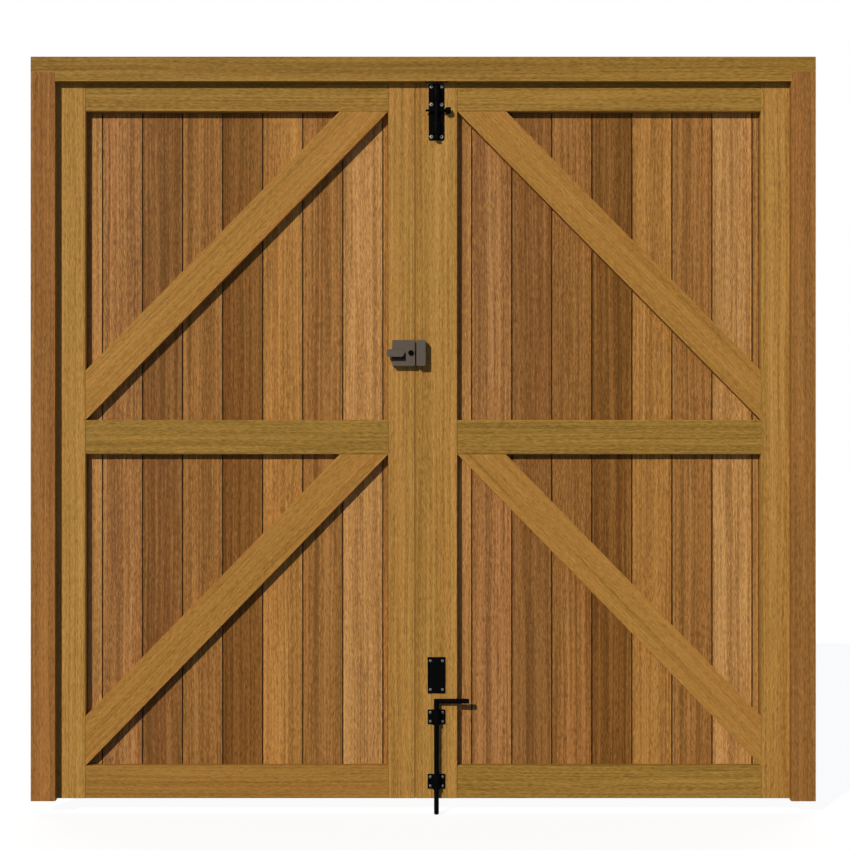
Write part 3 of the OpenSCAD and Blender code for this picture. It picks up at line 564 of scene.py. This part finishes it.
# Tee hinges and their screws, powder coated: a satin black whose edges catch the daylight
HINGE_BLACK = Mottled("satin_black_powder_coat", "#0B0B0C", "#171716", 0.0, 0.42, 0.35, grit=1.61, relief=0.12)
# Latch keep and lever in stoved enamel: an even warm grey without gloss
GREY_ENAMEL = Mottled("grey_stoved_enamel", "#585049", "#625A52", 0.0, 0.58, 0.1, grit=1.11, relief=0.04)
# The latch's case in the same enamel: the same grey outside, and painted shade, near black, on the faces inside its
# well, where shade falls under the lever
CASE_ENAMEL = Mottled("grey_case_enamel", "#584F48", "#625951", 0.0, 0.58, 0.1, grit=1.11, relief=0.04,
                      front=3.0 * MM)
# Zinc-plated screws of the top bolt, and the latch's bolt: a pale cool grey that stands out on the black
BRIGHT_ZINC = Mottled("bright_zinc_plate", "#8E999E", "#737C81", 0.6, 0.55, 0.3, grit=0.714, relief=0.02)
# Dulled zinc screws of the bottom bolt and the plate above it: a darker, neutral grey
DULL_ZINC = Mottled("dulled_zinc_plate", "#6E7072", "#55575A", 0.7, 0.5, 0.3, grit=0.714, relief=0.02)
# Painted shade in the screws' cross recesses: a dark cross in each head, standing in for the shade in the recess
PAINTED_RECESS_SHADE = Mottled("dark_recess", "#14120F", "#1F1B16", 0.0, 0.8, 0.05, grit=1.11, relief=0.05)
# Polished brass of the latch's cylinder and rose: a yellow mirror, slightly blurred
POLISHED_BRASS = Mottled("polished_brass", "#C7A05A", "#A8813F", 1.0, 0.3, 0.5, grit=1.11, relief=0.02)
# Weathered zinc of the nails in the boards: small dull grey dots
WEATHERED_ZINC = Mottled("weathered_zinc_nail", "#77746E", "#5B554C", 0.5, 0.6, 0.4, grit=1.11, relief=0.04)
# Wool pile of the seals: honey-coloured and quite matt, so that the gap between the leaves is only a soft line
HONEY_PILE = Mottled("honey_wool_pile", "#AD7F40", "#9C7036", 0.0, 0.95, 0.0, grit=0.714, relief=0.2)


@dataclass
class Frame:
    """Two rebated posts and the head that laps over them."""

    posts: tuple[str, ...] = ("left_jamb", "right_jamb")
    head: str = "head"

    def build(self) -> None:
        """Dresses the posts and the head."""
        POST_TIMBER.put_on(*(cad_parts[name] for name in self.posts))
        HEAD_TIMBER.put_on(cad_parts[self.head])
        log.info("frame: %d posts and a head", len(self.posts))


@dataclass
class Leaf:
    """One framed, ledged and braced leaf."""

    side: Side
    boards: int = 9
    braces: tuple[str, ...] = ("upper_brace", "lower_brace")
    brace_seed: float = 6.0
    board_seed: float = 10.0

    def node(self, name: str) -> bpy.types.Object:
        """Finds one of the leaf's timbers by the name it has on both leaves."""
        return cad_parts[f"{self.side.value}_{name}"]

    def brace_turn(self, name: str) -> float:
        """Works out a brace's turn from its box, because it runs from corner to corner of its panel.

        Args:
            name: The brace.

        Returns:
            Turn about Y in degrees that stands it upright.
        """
        low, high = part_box(f"{self.side.value}_{name}")
        rise = math.degrees(math.atan2(high.z - low.z, high.x - low.x))
        return rise - 90.0 if self.side is Side.LEFT else 90.0 - rise

    def build(self) -> None:
        """Dresses the framing, the braces and the boards."""
        STILE_TIMBER.put_on(self.node("hanging_stile"), self.node("meeting_stile"))
        RAIL_TIMBER.put_on(self.node("top_rail"), self.node("middle_rail"))
        (SILL_TIMBER if self.side is Side.LEFT else RAIL_TIMBER).put_on(self.node("bottom_rail"))
        for count, name in enumerate(self.braces):
            Timber(f"oiled_golden_{self.side.value}_{name}", *BRACE_TONES, self.brace_turn(name),
                   seed=self.brace_seed + count, blush_share=0.3, streak=0.7, fibre=0.8).put_on(self.node(name))
        for board in range(1, self.boards + 1):
            place = board if self.side is Side.LEFT else self.boards + 1 - board
            BoardTimber(f"oiled_board_{place}", *BOARD_TONES[place - 1],
                        seed=self.board_seed + place).put_on(self.node(f"board_{board}"))
        log.info("%s leaf: seven timbers and %d boards", self.side.value, self.boards)


@dataclass
class Ironwork:
    """Hinges, bolts and latch, with their edges eased as castings and pressings have them.

    Attributes:
        edge: Width of an eased edge.
        rounds: Facets across it.
        sharp: Edges that turn more than this, in degrees, are eased.
        weld: Corners nearer to each other than this are joined first.
        hinges: Pieces in the hinges' black, and so on for the other finishes.
        eased: Pieces whose edges are eased.
    """

    edge: float = 0.5 * MM
    rounds: int = 2
    sharp: float = 50.0
    weld: float = 0.002 * MM
    hinges: tuple[str, ...] = ("left_hinge_plates", "right_hinge_plates", "left_hinge_pins", "right_hinge_pins",
                               "left_hinge_straps", "right_hinge_straps")
    black: tuple[str, ...] = ("top_bolt_keep", "top_bolt_plate", "upper_bolt_guide", "lower_bolt_guide",
                              "rest_plate", "top_bolt_rod", "top_bolt_knob", "bottom_bolt_rod", "latch_snib")
    grey: tuple[str, ...] = ("latch_lever", "latch_keep")
    case: tuple[str, ...] = ("latch_case",)
    bright: tuple[str, ...] = ("latch_bolt",)
    brass: tuple[str, ...] = ("latch_cylinder",)
    eased: tuple[str, ...] = ("latch_case", "latch_keep", "latch_lever", "top_bolt_plate", "rest_plate",
                              "left_hinge_straps", "right_hinge_straps", "left_hinge_plates", "right_hinge_plates")

    def ease(self, piece: bpy.types.Object) -> None:
        """Rounds a piece's sharp edges a little.

        Args:
            piece: The piece.
        """
        weld = piece.modifiers.new("joined faces", "WELD")
        weld.merge_threshold = self.weld
        bevel = piece.modifiers.new("eased edges", "BEVEL")
        bevel.width = self.edge
        bevel.segments = self.rounds
        bevel.limit_method = "ANGLE"
        bevel.angle_limit = math.radians(self.sharp)

    def build(self) -> None:
        """Dresses the ironwork and eases its long edges."""
        finishes = ((HINGE_BLACK, self.hinges), (BLACK_IRON, self.black), (GREY_ENAMEL, self.grey),
                    (CASE_ENAMEL, self.case), (BRIGHT_ZINC, self.bright), (POLISHED_BRASS, self.brass))
        for finish, names in finishes:
            finish.put_on(*(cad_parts[name] for name in names))
            log.info("%s: %s", finish.name, ", ".join(names))
        for name in self.eased:
            self.ease(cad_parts[name])
        log.info("eased edges: %s", ", ".join(self.eased))


def plain_mesh(name: str, carrier: bpy.types.Object, smooth_below: float = 35.0) -> bpy.types.Object:
    """Turns what a carrier's modifiers make into a plain mesh object, and removes the carrier.

    Args:
        name: The new piece's name.
        carrier: The object with the modifiers.
        smooth_below: Edges with a smaller angle than this, in degrees, are shaded smooth.

    Returns:
        The new piece.
    """
    evaluated = carrier.evaluated_get(bpy.context.evaluated_depsgraph_get())
    mesh = bpy.data.meshes.new_from_object(evaluated)
    carrier.modifiers.clear()
    bpy.data.objects.remove(carrier)
    work = bmesh.new()
    work.from_mesh(mesh)
    used = [given for given in mesh.materials if given]
    slots = {i: used.index(given) for i, given in enumerate(mesh.materials) if given}
    for face in work.faces:
        face.smooth = True
        face.material_index = slots.get(face.material_index, 0)
    for edge in work.edges:
        edge.smooth = len(edge.link_faces) == 2 and edge.calc_face_angle(0.0) < math.radians(smooth_below)
    # Clearing the materials resets every face's number, so it comes before the faces are written back
    mesh.materials.clear()
    for given in used:
        mesh.materials.append(given)
    work.to_mesh(mesh)
    work.free()
    piece = bpy.data.objects.new(name, mesh)
    bpy.context.scene.collection.objects.link(piece)
    return piece


@dataclass(frozen=True)
class Seat:
    """Where a screw or nail sits: the middle of its head's underside, which way it faces and how wide it is."""

    place: Vector
    facing: Vector
    radius: float


@dataclass
class HeadTree:
    """Geometry tree that puts one domed head on every seat, with or without a cross recess.

    Attributes:
        name: The tree's name.
        dome: Height of a head.
        recess_width: Width of the cross's arms, as a share of the head's radius, or 0 for no recess.
        recess_reach: Length of the arms, likewise.
        recess_depth: Height of the arms' cutter, as a share of the dome's. Its middle lies on the dome's top.
        turn_spread: How far a head is turned at random either way, in degrees.
        segments: Facets round a head.
        rings: Facets over a head.
        inside: What lies nearer to the head's middle than this share of the dome is in the recess,
        foot: unless it is lower than this share of the dome's height.
        sockets: Identifiers of the tree's inputs by their labels, known once it is made.
    """

    name: str
    dome: float
    recess_width: float
    recess_reach: float
    recess_depth: float
    turn_spread: float
    segments: int = 40
    rings: int = 20
    inside: float = 0.97
    foot: float = 0.05
    sockets: dict[str, str] = field(default_factory=dict)

    def head(self, made: bpy.types.NodeTree, given: Any) -> Any:
        """Models one head of radius 1, with the faces of its recess marked for painted shade.

        Args:
            made: The geometry tree.
            given: The tree's inputs.

        Returns:
            The head, standing on its seat.
        """
        ball = add_node(made, "GeometryNodeMeshUVSphere", {
            "Segments": self.segments, "Rings": self.rings, "Radius": 1.0,
        })
        # Everything under the seat is cut away
        under = add_node(made, "GeometryNodeMeshCube", {"Size": (4.0, 4.0, 2.0)})
        under = add_node(made, "GeometryNodeTransform", {
            "Geometry": under.outputs["Mesh"], "Translation": (0.0, 0.0, -1.0),
        })
        cut = add_node(made, "GeometryNodeMeshBoolean", {0: ball.outputs["Mesh"]}, operation="DIFFERENCE")
        made.links.new(under.outputs["Geometry"], cut.inputs[1])
        for first, second in (("Recess reach", "Recess width"), ("Recess width", "Recess reach")):
            arm = add_node(made, "ShaderNodeCombineXYZ", {0: given[first], 1: given[second], 2: given["Recess depth"]})
            arm = add_node(made, "GeometryNodeMeshCube", {"Size": arm.outputs[0]})
            arm = add_node(made, "GeometryNodeTransform", {
                "Geometry": arm.outputs["Mesh"], "Translation": (0.0, 0.0, 1.0),
            })
            made.links.new(arm.outputs["Geometry"], cut.inputs[1])

        # Faces inside the recess, which take the painted shade, are those that lie well under the dome
        where = add_node(made, "GeometryNodeInputPosition")
        deep = add_node(made, "ShaderNodeVectorMath", {0: where.outputs[0]}, operation="LENGTH")
        deep = add_node(made, "ShaderNodeMath", {0: deep.outputs["Value"], 1: self.inside}, operation="LESS_THAN")
        raised = add_node(made, "ShaderNodeSeparateXYZ", {0: where.outputs[0]})
        raised = add_node(made, "ShaderNodeMath", {0: raised.outputs["Z"], 1: self.foot}, operation="GREATER_THAN")
        inside = add_node(made, "ShaderNodeMath", {0: deep.outputs[0], 1: raised.outputs[0]}, operation="MULTIPLY")
        return add_node(made, "GeometryNodeStoreNamedAttribute", {
            "Geometry": cut.outputs["Mesh"], "Name": "recess", "Value": inside.outputs[0],
        }, data_type="FLOAT", domain="FACE").outputs["Geometry"]

    @staticmethod
    def set_out(made: bpy.types.NodeTree, given: Any, head: Any) -> Any:
        """Stands a head on every seat, at the seat's width and with a turn of its own.

        Args:
            made: The geometry tree.
            given: The tree's inputs.
            head: One head of radius 1.

        Returns:
            All the heads.
        """
        facing = add_node(made, "GeometryNodeInputNamedAttribute", {"Name": "facing"}, data_type="FLOAT_VECTOR")
        radius = add_node(made, "GeometryNodeInputNamedAttribute", {"Name": "radius"}, data_type="FLOAT")
        stand = add_node(made, "FunctionNodeAlignRotationToVector", {
            "Vector": facing.outputs["Attribute"],
        }, axis="Z", pivot_axis="AUTO")
        low = add_node(made, "ShaderNodeMath", {0: given["Turn spread"], 1: -1.0}, operation="MULTIPLY")
        turn = add_node(made, "FunctionNodeRandomValue", {
            2: low.outputs[0], 3: given["Turn spread"], "Seed": given["Seed"],
        }, data_type="FLOAT")
        spin = add_node(made, "FunctionNodeAxisAngleToRotation", {
            "Axis": (0.0, 0.0, 1.0), "Angle": turn.outputs[1],
        })
        turned = add_node(made, "FunctionNodeRotateRotation", {
            "Rotation": stand.outputs["Rotation"], "Rotate By": spin.outputs["Rotation"],
        }, rotation_space="LOCAL")
        size = add_node(made, "ShaderNodeCombineXYZ", {
            0: radius.outputs["Attribute"], 1: radius.outputs["Attribute"], 2: given["Dome height"],
        })
        heads = add_node(made, "GeometryNodeInstanceOnPoints", {
            "Points": given["Seats"], "Instance": head, "Rotation": turned.outputs["Rotation"],
            "Scale": size.outputs[0],
        })
        solid = add_node(made, "GeometryNodeRealizeInstances", {"Geometry": heads.outputs["Instances"]})
        return solid.outputs["Geometry"]

    def tree(self) -> bpy.types.NodeTree:
        """Makes the geometry tree.

        Returns:
            The tree, with named inputs for its sizes.
        """
        made = bpy.data.node_groups.new(self.name, "GeometryNodeTree")
        face = made.interface
        face.new_socket("Seats", in_out="INPUT", socket_type="NodeSocketGeometry")
        for label in ("Dome height", "Recess width", "Recess reach", "Recess depth", "Turn spread"):
            self.sockets[label] = face.new_socket(label, in_out="INPUT", socket_type="NodeSocketFloat").identifier
        self.sockets["Seed"] = face.new_socket("Seed", in_out="INPUT", socket_type="NodeSocketInt").identifier
        for label in ("Finish", "Recess finish"):
            self.sockets[label] = face.new_socket(label, in_out="INPUT",
                                                  socket_type="NodeSocketMaterial").identifier
        face.new_socket("Heads", in_out="OUTPUT", socket_type="NodeSocketGeometry")

        given = add_node(made, "NodeGroupInput").outputs
        solid = self.set_out(made, given, self.head(made, given))
        finished = add_node(made, "GeometryNodeSetMaterial", {"Geometry": solid, "Material": given["Finish"]})
        # The recess's faces take a near-black material: painted shade
        recess = add_node(made, "GeometryNodeInputNamedAttribute", {"Name": "recess"}, data_type="FLOAT")
        chosen = add_node(made, "FunctionNodeCompare", {0: recess.outputs["Attribute"], 1: 0.5},
                          data_type="FLOAT", operation="GREATER_THAN")
        finished = add_node(made, "GeometryNodeSetMaterial", {
            "Geometry": finished.outputs["Geometry"], "Selection": chosen.outputs["Result"],
            "Material": given["Recess finish"],
        })
        add_node(made, "NodeGroupOutput", {"Heads": finished.outputs["Geometry"]})
        return made

    def place(self, name: str, seats: list[Seat], finish: Finish, seed: int) -> bpy.types.Object:
        """Puts a head on every seat.

        Args:
            name: The new piece's name.
            seats: Where the heads sit.
            finish: What they are finished in.
            seed: Fixes the turns of the heads.

        Returns:
            One plain mesh with all the heads.
        """
        mesh = bpy.data.meshes.new(name)
        mesh.from_pydata([seat.place for seat in seats], [], [])
        mesh.attributes.new("facing", "FLOAT_VECTOR", "POINT")
        mesh.attributes.new("radius", "FLOAT", "POINT")
        for i, seat in enumerate(seats):
            mesh.attributes["facing"].data[i].vector = seat.facing
            mesh.attributes["radius"].data[i].value = seat.radius
        carrier = bpy.data.objects.new(f"{name}_seats", mesh)
        bpy.context.scene.collection.objects.link(carrier)
        modifier = carrier.modifiers.new(self.name, "NODES")
        modifier.node_group = bpy.data.node_groups.get(self.name) or self.tree()
        values = {"Dome height": self.dome, "Recess width": self.recess_width, "Recess reach": self.recess_reach,
                  "Recess depth": self.recess_depth, "Turn spread": math.radians(self.turn_spread), "Seed": seed,
                  "Finish": finish.material(), "Recess finish": PAINTED_RECESS_SHADE.material()}
        for label, value in values.items():
            modifier[self.sockets[label]] = value
        return plain_mesh(name, carrier)


def loose_parts(mesh: bpy.types.Mesh, same_place: float = 0.005 * MM) -> list[list[Vector]]:
    """Sorts a mesh's points by the separate pieces that they belong to.

    Args:
        mesh: The mesh, whose faces may each have corners of their own.
        same_place: Corners that round to the same multiple of this are one.

    Returns:
        The points of each piece.
    """
    first: dict[tuple[int, ...], int] = {}
    joined = [first.setdefault(tuple(round(c / same_place) for c in vertex.co), vertex.index)
              for vertex in mesh.vertices]
    root = list(range(len(joined)))

    def find(i: int) -> int:
        """Finds the first vertex of i's piece."""
        while root[i] != i:
            root[i] = root[root[i]]
            i = root[i]
        return i

    for face in mesh.polygons:
        corners = [joined[i] for i in face.vertices]
        for other in corners[1:]:
            root[find(corners[0])] = find(other)
    pieces: dict[int, list[Vector]] = defaultdict(list)
    for vertex, place in zip(mesh.vertices, joined):
        pieces[find(place)].append(vertex.co)
    return list(pieces.values())


@dataclass
class Screws:
    """Round-headed cross-recessed screws, set on the seats that the frame's own screws have.

    Attributes:
        heads: Makes the heads.
        large: Heads of a larger radius than this take a set's first finish, and the others its second.
        rim: Points farther from a screw's axis than this share of its radius are its head's rim.
        seed: Fixes the turns of the first set's heads. The next sets count on from it.
        sets: Each node of screws, the body it rides on, its two finishes and its slot.
    """

    heads: HeadTree = field(default_factory=lambda: HeadTree("cross_recess_heads", 2.4 * MM, 0.3, 1.1, 0.9, 40.0))
    large: float = 5.0 * MM
    rim: float = 0.97
    seed: int = 11
    sets: tuple[tuple[str, str, Finish, Finish, str], ...] = (
        ("frame_screws", "frame", HINGE_BLACK, HINGE_BLACK, "black_iron"),
        ("left_strap_screws", "left_leaf", HINGE_BLACK, HINGE_BLACK, "black_iron"),
        ("right_strap_screws", "right_leaf", HINGE_BLACK, HINGE_BLACK, "black_iron"),
        ("bolt_screws", "right_leaf", BRIGHT_ZINC, DULL_ZINC, "bright_steel"),
    )

    def seat(self, points: list[Vector]) -> Seat:
        """Finds where a screw's head sits.

        Args:
            points: The screw's points.

        Returns:
            Its seat, which faces the way the head does.
        """
        low = Vector([min(p[k] for p in points) for k in range(3)])
        high = Vector([max(p[k] for p in points) for k in range(3)])
        axis = max(range(3), key=lambda k: (high - low)[k])
        across = [k for k in range(3) if k != axis]
        middle = (low + high) / 2
        reach = max(abs(p[k] - middle[k]) for p in points for k in across)
        rim = [p[axis] for p in points
               if math.dist([p[k] for k in across], [middle[k] for k in across]) > self.rim * reach]
        outward = 1.0 if sum(rim) / len(rim) > middle[axis] else -1.0
        facing, place = Vector((0, 0, 0)), middle.copy()
        facing[axis] = outward
        place[axis] = min(rim) if outward > 0 else max(rim)
        return Seat(place, facing, reach)

    def seats(self, node: str) -> list[Seat]:
        """Reads the seat of each separate screw from a node that holds several.

        Args:
            node: The node.

        Returns:
            One seat for each screw, in an order that each run repeats.
        """
        found = [self.seat(points) for points in loose_parts(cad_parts[node].data)]
        return sorted(found, key=lambda seat: tuple(round(c, 5) for c in seat.place))

    def build(self) -> None:
        """Puts the heads on each body and hides the plain ones."""
        for count, (node, body, finish, small_finish, slot) in enumerate(self.sets):
            seats = self.seats(node)
            large = [seat for seat in seats if seat.radius > self.large]
            small = [seat for seat in seats if seat.radius <= self.large]
            for size, some, look in (("large", large, finish), ("small", small, small_finish)):
                if not some:
                    continue
                piece = self.heads.place(f"{node}_{size}_heads", some, look, seed=self.seed + count)
                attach(piece, body)
                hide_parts(node)
                log.info("%s: %d heads", piece.name, len(some))


@dataclass
class BoardNails:
    """Nails driven through the boards into the rails and braces, seen on the outside only.

    Attributes:
        side: The leaf.
        boards: How many boards it has.
        radius: Radius of a nail's head.
        tongue: How far a board's box goes past its shown face on either side.
        inset: From a shown face's edge to the nail.
        narrow: Boards narrower than this take one nail across, in the middle.
        rail_shares: Heights of the two nails in a rail, as shares of its width.
        brace_start: Height of a nail in a brace at the brace's low end, as a share of the brace's whole rise.
        brace_climb: How much higher it is at the high end, likewise.
        strap_foot: From the leaf's bottom up to the lowest hinge strap's middle.
        strap_head: From the leaf's top down to the highest strap's middle.
        strap_half: No nail is nearer than this to a strap's middle line.
        strap_reach: How far along the leaf that holds, from the hinge's side.
        seed: Fixes the turns of the heads.
        heads: Makes the heads.
    """

    side: Side
    boards: int = 9
    radius: float = 2.3 * MM
    tongue: float = 4 * MM
    inset: float = 24 * MM
    narrow: float = 60 * MM
    rail_shares: tuple[float, float] = (0.22, 0.78)
    brace_start: float = 0.06
    brace_climb: float = 0.93
    strap_foot: float = 72 * MM
    strap_head: float = 66 * MM
    strap_half: float = 32 * MM
    strap_reach: float = 470 * MM
    seed: int = 31
    heads: HeadTree = field(default_factory=lambda: HeadTree("flat_nail_heads", 0.4 * MM, 0.0, 0.0, 0.0, 180.0, 16, 8))

    def box(self, name: str) -> tuple[Vector, Vector]:
        """Corners of one of the leaf's timbers."""
        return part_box(f"{self.side.value}_{name}")

    def under_strap(self, x: float, z: float) -> bool:
        """Tells whether a nail would lie under a hinge strap.

        Args:
            x: The nail's place along X.
            z: Its height.

        Returns:
            True if a strap covers it.
        """
        low, high = self.box("hinge_straps")
        pin = low.x if self.side is Side.LEFT else high.x
        foot, top = self.box("hanging_stile")
        under, over = self.box("middle_rail")
        straps = (foot.z + self.strap_foot, (under.z + over.z) / 2, top.z - self.strap_head)
        return abs(x - pin) < self.strap_reach and any(abs(z - strap) < self.strap_half for strap in straps)

    def heights(self, x: float) -> list[float]:
        """Works out the nails' heights in the rails and braces.

        Args:
            x: The nails' place along X.

        Returns:
            Two heights for each rail and one for each brace.
        """
        found = []
        for rail in ("bottom_rail", "middle_rail"):
            low, high = self.box(rail)
            found += [low.z + share * (high.z - low.z) for share in self.rail_shares]
        for brace in ("upper_brace", "lower_brace"):
            low, high = self.box(brace)
            along = (x - low.x if self.side is Side.LEFT else high.x - x) / (high.x - low.x)
            found.append(low.z + (high.z - low.z) * (along * self.brace_climb + self.brace_start))
        return found

    def seats(self) -> list[Seat]:
        """Sets out the nails, two across each full board at each rail and brace.

        Returns:
            Their seats.
        """
        found: list[Seat] = []
        for board in range(1, self.boards + 1):
            low, high = self.box(f"board_{board}")
            left, right = low.x + self.tongue, high.x - self.tongue
            if right - left < self.narrow:
                columns = [(left + right) / 2]
            else:
                columns = [left + self.inset, right - self.inset]
            found += [Seat(Vector((x, high.y, z)), Vector((0, 1, 0)), self.radius)
                      for x in columns for z in self.heights(x) if not self.under_strap(x, z)]
        return found

    def build(self) -> None:
        """Drives the nails."""
        seats = self.seats()
        piece = self.heads.place(f"{self.side.value}_board_nails", seats, WEATHERED_ZINC, self.seed)
        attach(piece, f"{self.side.value}_leaf")
        log.info("%s: %d heads", piece.name, len(seats))


@dataclass
class MeetingSeals:
    """Pile seals that face each other in the leaves' meeting edges and close the gap to light.

    Attributes:
        proud: How far a seal stands out of its edge, just under half of the gap.
        width: Its width on the edge.
        depth: Where its middle lies along Y.
        end_clear: How far it ends from the leaf's top and bottom.
        arc: Facets round it.
    """

    proud: float = 1.49 * MM
    width: float = 5.0 * MM
    depth: float = 28.0 * MM
    end_clear: float = 1.0 * MM
    arc: int = 10

    def build(self) -> None:
        """Sets one rounded strip in each leaf's meeting edge."""
        for side, outward in ((Side.LEFT, 1.0), (Side.RIGHT, -1.0)):
            low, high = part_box(f"{side.value}_meeting_stile")
            edge = high.x if side is Side.LEFT else low.x
            angles = [math.pi * i / self.arc for i in range(self.arc + 1)]
            section = [(edge + outward * self.proud * math.sin(angle), self.depth - self.width / 2 * math.cos(angle))
                       for angle in angles]
            work = bmesh.new()
            rows = [[work.verts.new((x, y, z)) for x, y in section]
                    for z in (low.z + self.end_clear, high.z - self.end_clear)]
            for i in range(self.arc):
                work.faces.new((rows[0][i], rows[0][i + 1], rows[1][i + 1], rows[1][i]))
            work.faces.new((rows[0][0], rows[1][0], rows[1][-1], rows[0][-1]))
            work.faces.new(rows[0])
            work.faces.new(list(reversed(rows[1])))
            bmesh.ops.recalc_face_normals(work, faces=work.faces)
            mesh = bpy.data.meshes.new(f"{side.value}_meeting_seal")
            work.to_mesh(mesh)
            work.free()
            piece = bpy.data.objects.new(mesh.name, mesh)
            bpy.context.scene.collection.objects.link(piece)
            HONEY_PILE.put_on(piece)
            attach(piece, f"{side.value}_leaf")
            log.info("%s: %.0f mm long", piece.name, (high.z - low.z) / MM)


@dataclass
class Studio:
    """Camera, sun, surrounding light and pale floor.

    Attributes:
        eye: The camera's place.
        lens: Its focal length in mm.
        sensor: Its sensor's width in mm.
        far: How far it sees.
        sun_travel: The way the sunlight goes.
        sun_level: The sun's strength.
        sun_colour: Its colour.
        sun_width: How wide it looks, in degrees, which blurs the shadows' edges.
        shade_colour: The light that fills the shadows on the inside.
        garden_colour: Daylight on the outside.
        garden_edge: Y of the direction from which the surroundings are as bright as the garden.
        floor_z: The floor's height, just under the bottom bolt's tip.
        floor_half: Half of its width.
        floor_tone: Its own colour, dark enough that it throws little light back at the doors.
        floor_glow: Light that the camera sees it give, which makes it near white.
    """

    eye: tuple[float, float, float] = (0.0051, -4.655, 1.0784)
    lens: float = 68.8
    sensor: float = 36.0
    far: float = 200.0
    sun_travel: tuple[float, float, float] = (0.555, 1.0, -0.6)
    sun_level: float = 3.44
    sun_colour: tuple[float, float, float] = (1.01, 0.93, 0.77)
    sun_width: float = 0.4
    shade_colour: Colour = (0.08, 0.165, 0.285, 1.0)
    garden_colour: Colour = (1.45, 1.46, 1.48, 1.0)
    garden_edge: float = 0.35
    floor_z: float = -0.0412
    floor_half: float = 30.0
    floor_tone: Colour = (0.2, 0.2, 0.2, 1.0)
    floor_glow: float = 0.825

    def camera(self) -> None:
        """Sets the camera at the photograph's place, looking straight at the doors."""
        data = bpy.data.cameras.new("camera")
        data.lens, data.sensor_width = self.lens, self.sensor
        data.clip_end = self.far
        camera = bpy.data.objects.new("camera", data)
        camera.location = self.eye
        camera.rotation_euler = (math.radians(90), 0.0, 0.0)
        bpy.context.scene.collection.objects.link(camera)
        bpy.context.scene.camera = camera
        log.info("camera: lens %.2f mm at %s", self.lens, self.eye)

    def sun(self) -> None:
        """Hangs the sun high at the left, in front of the doors' inside."""
        data = bpy.data.lights.new("sun", "SUN")
        data.energy, data.color, data.angle = self.sun_level, self.sun_colour, math.radians(self.sun_width)
        lamp = bpy.data.objects.new("sun", data)
        lamp.rotation_euler = Vector(self.sun_travel).to_track_quat("-Z", "Y").to_euler()
        bpy.context.scene.collection.objects.link(lamp)
        log.info("sun: level %.2f", self.sun_level)

    @staticmethod
    def seen_rays(tree: bpy.types.NodeTree) -> Any:
        """Tells camera, mirror and glass rays from the light that falls on the object.

        Args:
            tree: The tree that takes the nodes.

        Returns:
            1 for camera, glossy and transmission rays, and 0 for others.
        """
        rays = add_node(tree, "ShaderNodeLightPath").outputs
        either = add_node(tree, "ShaderNodeMath", {0: rays["Is Camera Ray"], 1: rays["Is Glossy Ray"]},
                          operation="MAXIMUM")
        return add_node(tree, "ShaderNodeMath", {0: either.outputs[0], 1: rays["Is Transmission Ray"]},
                        operation="MAXIMUM").outputs[0]

    def surround(self) -> None:
        """Makes the white surroundings, with dim light on the inside of the doors and daylight on the outside."""
        world = bpy.data.worlds.new("surround")
        world.use_nodes = True
        tree = world.node_tree
        tree.nodes.clear()
        way = add_node(tree, "ShaderNodeTexCoord")
        axes = add_node(tree, "ShaderNodeSeparateXYZ", {"Vector": way.outputs["Generated"]})
        outside = add_node(tree, "ShaderNodeMapRange", {
            "Value": axes.outputs["Y"], "From Min": 0.0, "From Max": self.garden_edge, "To Min": 0.0, "To Max": 1.0,
        })
        falling = add_node(tree, "ShaderNodeMix", {
            MIX_SHARE: outside.outputs["Result"], MIX_FIRST: self.shade_colour, MIX_SECOND: self.garden_colour,
        }, data_type="RGBA")
        shown = add_node(tree, "ShaderNodeMix", {
            MIX_SHARE: self.seen_rays(tree), MIX_FIRST: falling.outputs[MIX_RESULT], MIX_SECOND: WHITE,
        }, data_type="RGBA")
        light = add_node(tree, "ShaderNodeBackground", {"Color": shown.outputs[MIX_RESULT], "Strength": 1.0})
        add_node(tree, "ShaderNodeOutputWorld", {"Surface": light.outputs["Background"]})
        bpy.context.scene.world = world
        log.info("surround: white")

    def floor(self) -> None:
        """Lays a white floor just under the bolt's tip, which keeps a pale shadow of the doors."""
        half, z = self.floor_half, self.floor_z
        mesh = bpy.data.meshes.new("floor")
        mesh.from_pydata([(-half, -half, z), (half, -half, z), (half, half, z), (-half, half, z)], [], [(0, 1, 2, 3)])
        floor = bpy.data.objects.new("floor", mesh)
        bpy.context.scene.collection.objects.link(floor)
        paint = bpy.data.materials.new("white_floor")
        paint.use_nodes = True
        tree = paint.node_tree
        tree.nodes.clear()
        matt = add_node(tree, "ShaderNodeBsdfDiffuse", {"Color": self.floor_tone})
        glow = add_node(tree, "ShaderNodeEmission", {"Color": WHITE, "Strength": self.floor_glow})
        both = add_node(tree, "ShaderNodeAddShader", {0: matt.outputs[0], 1: glow.outputs[0]})
        shown = add_node(tree, "ShaderNodeMixShader", {
            0: self.seen_rays(tree), 1: matt.outputs[0], 2: both.outputs[0],
        })
        add_node(tree, "ShaderNodeOutputMaterial", {"Surface": shown.outputs[0]})
        mesh.materials.append(paint)
        log.info("floor: at %.4f m", z)

    def build(self) -> None:
        """Sets up the camera, the light and the floor."""
        bpy.context.scene.view_settings.view_transform = "Standard"
        self.camera()
        self.sun()
        self.surround()
        self.floor()


def main() -> None:
    """Builds the doors' looks and the studio round them."""
    logging.basicConfig(level=logging.INFO, format="%(name)s: %(message)s")
    nails = BoardNails(Side.LEFT)
    for part in (Studio(), Frame(), Leaf(Side.LEFT), Leaf(Side.RIGHT), Ironwork(), Screws(), nails,
                 BoardNails(Side.RIGHT, heads=nails.heads), MeetingSeals()):
        part.build()


if __name__ == "__main__":
    main()
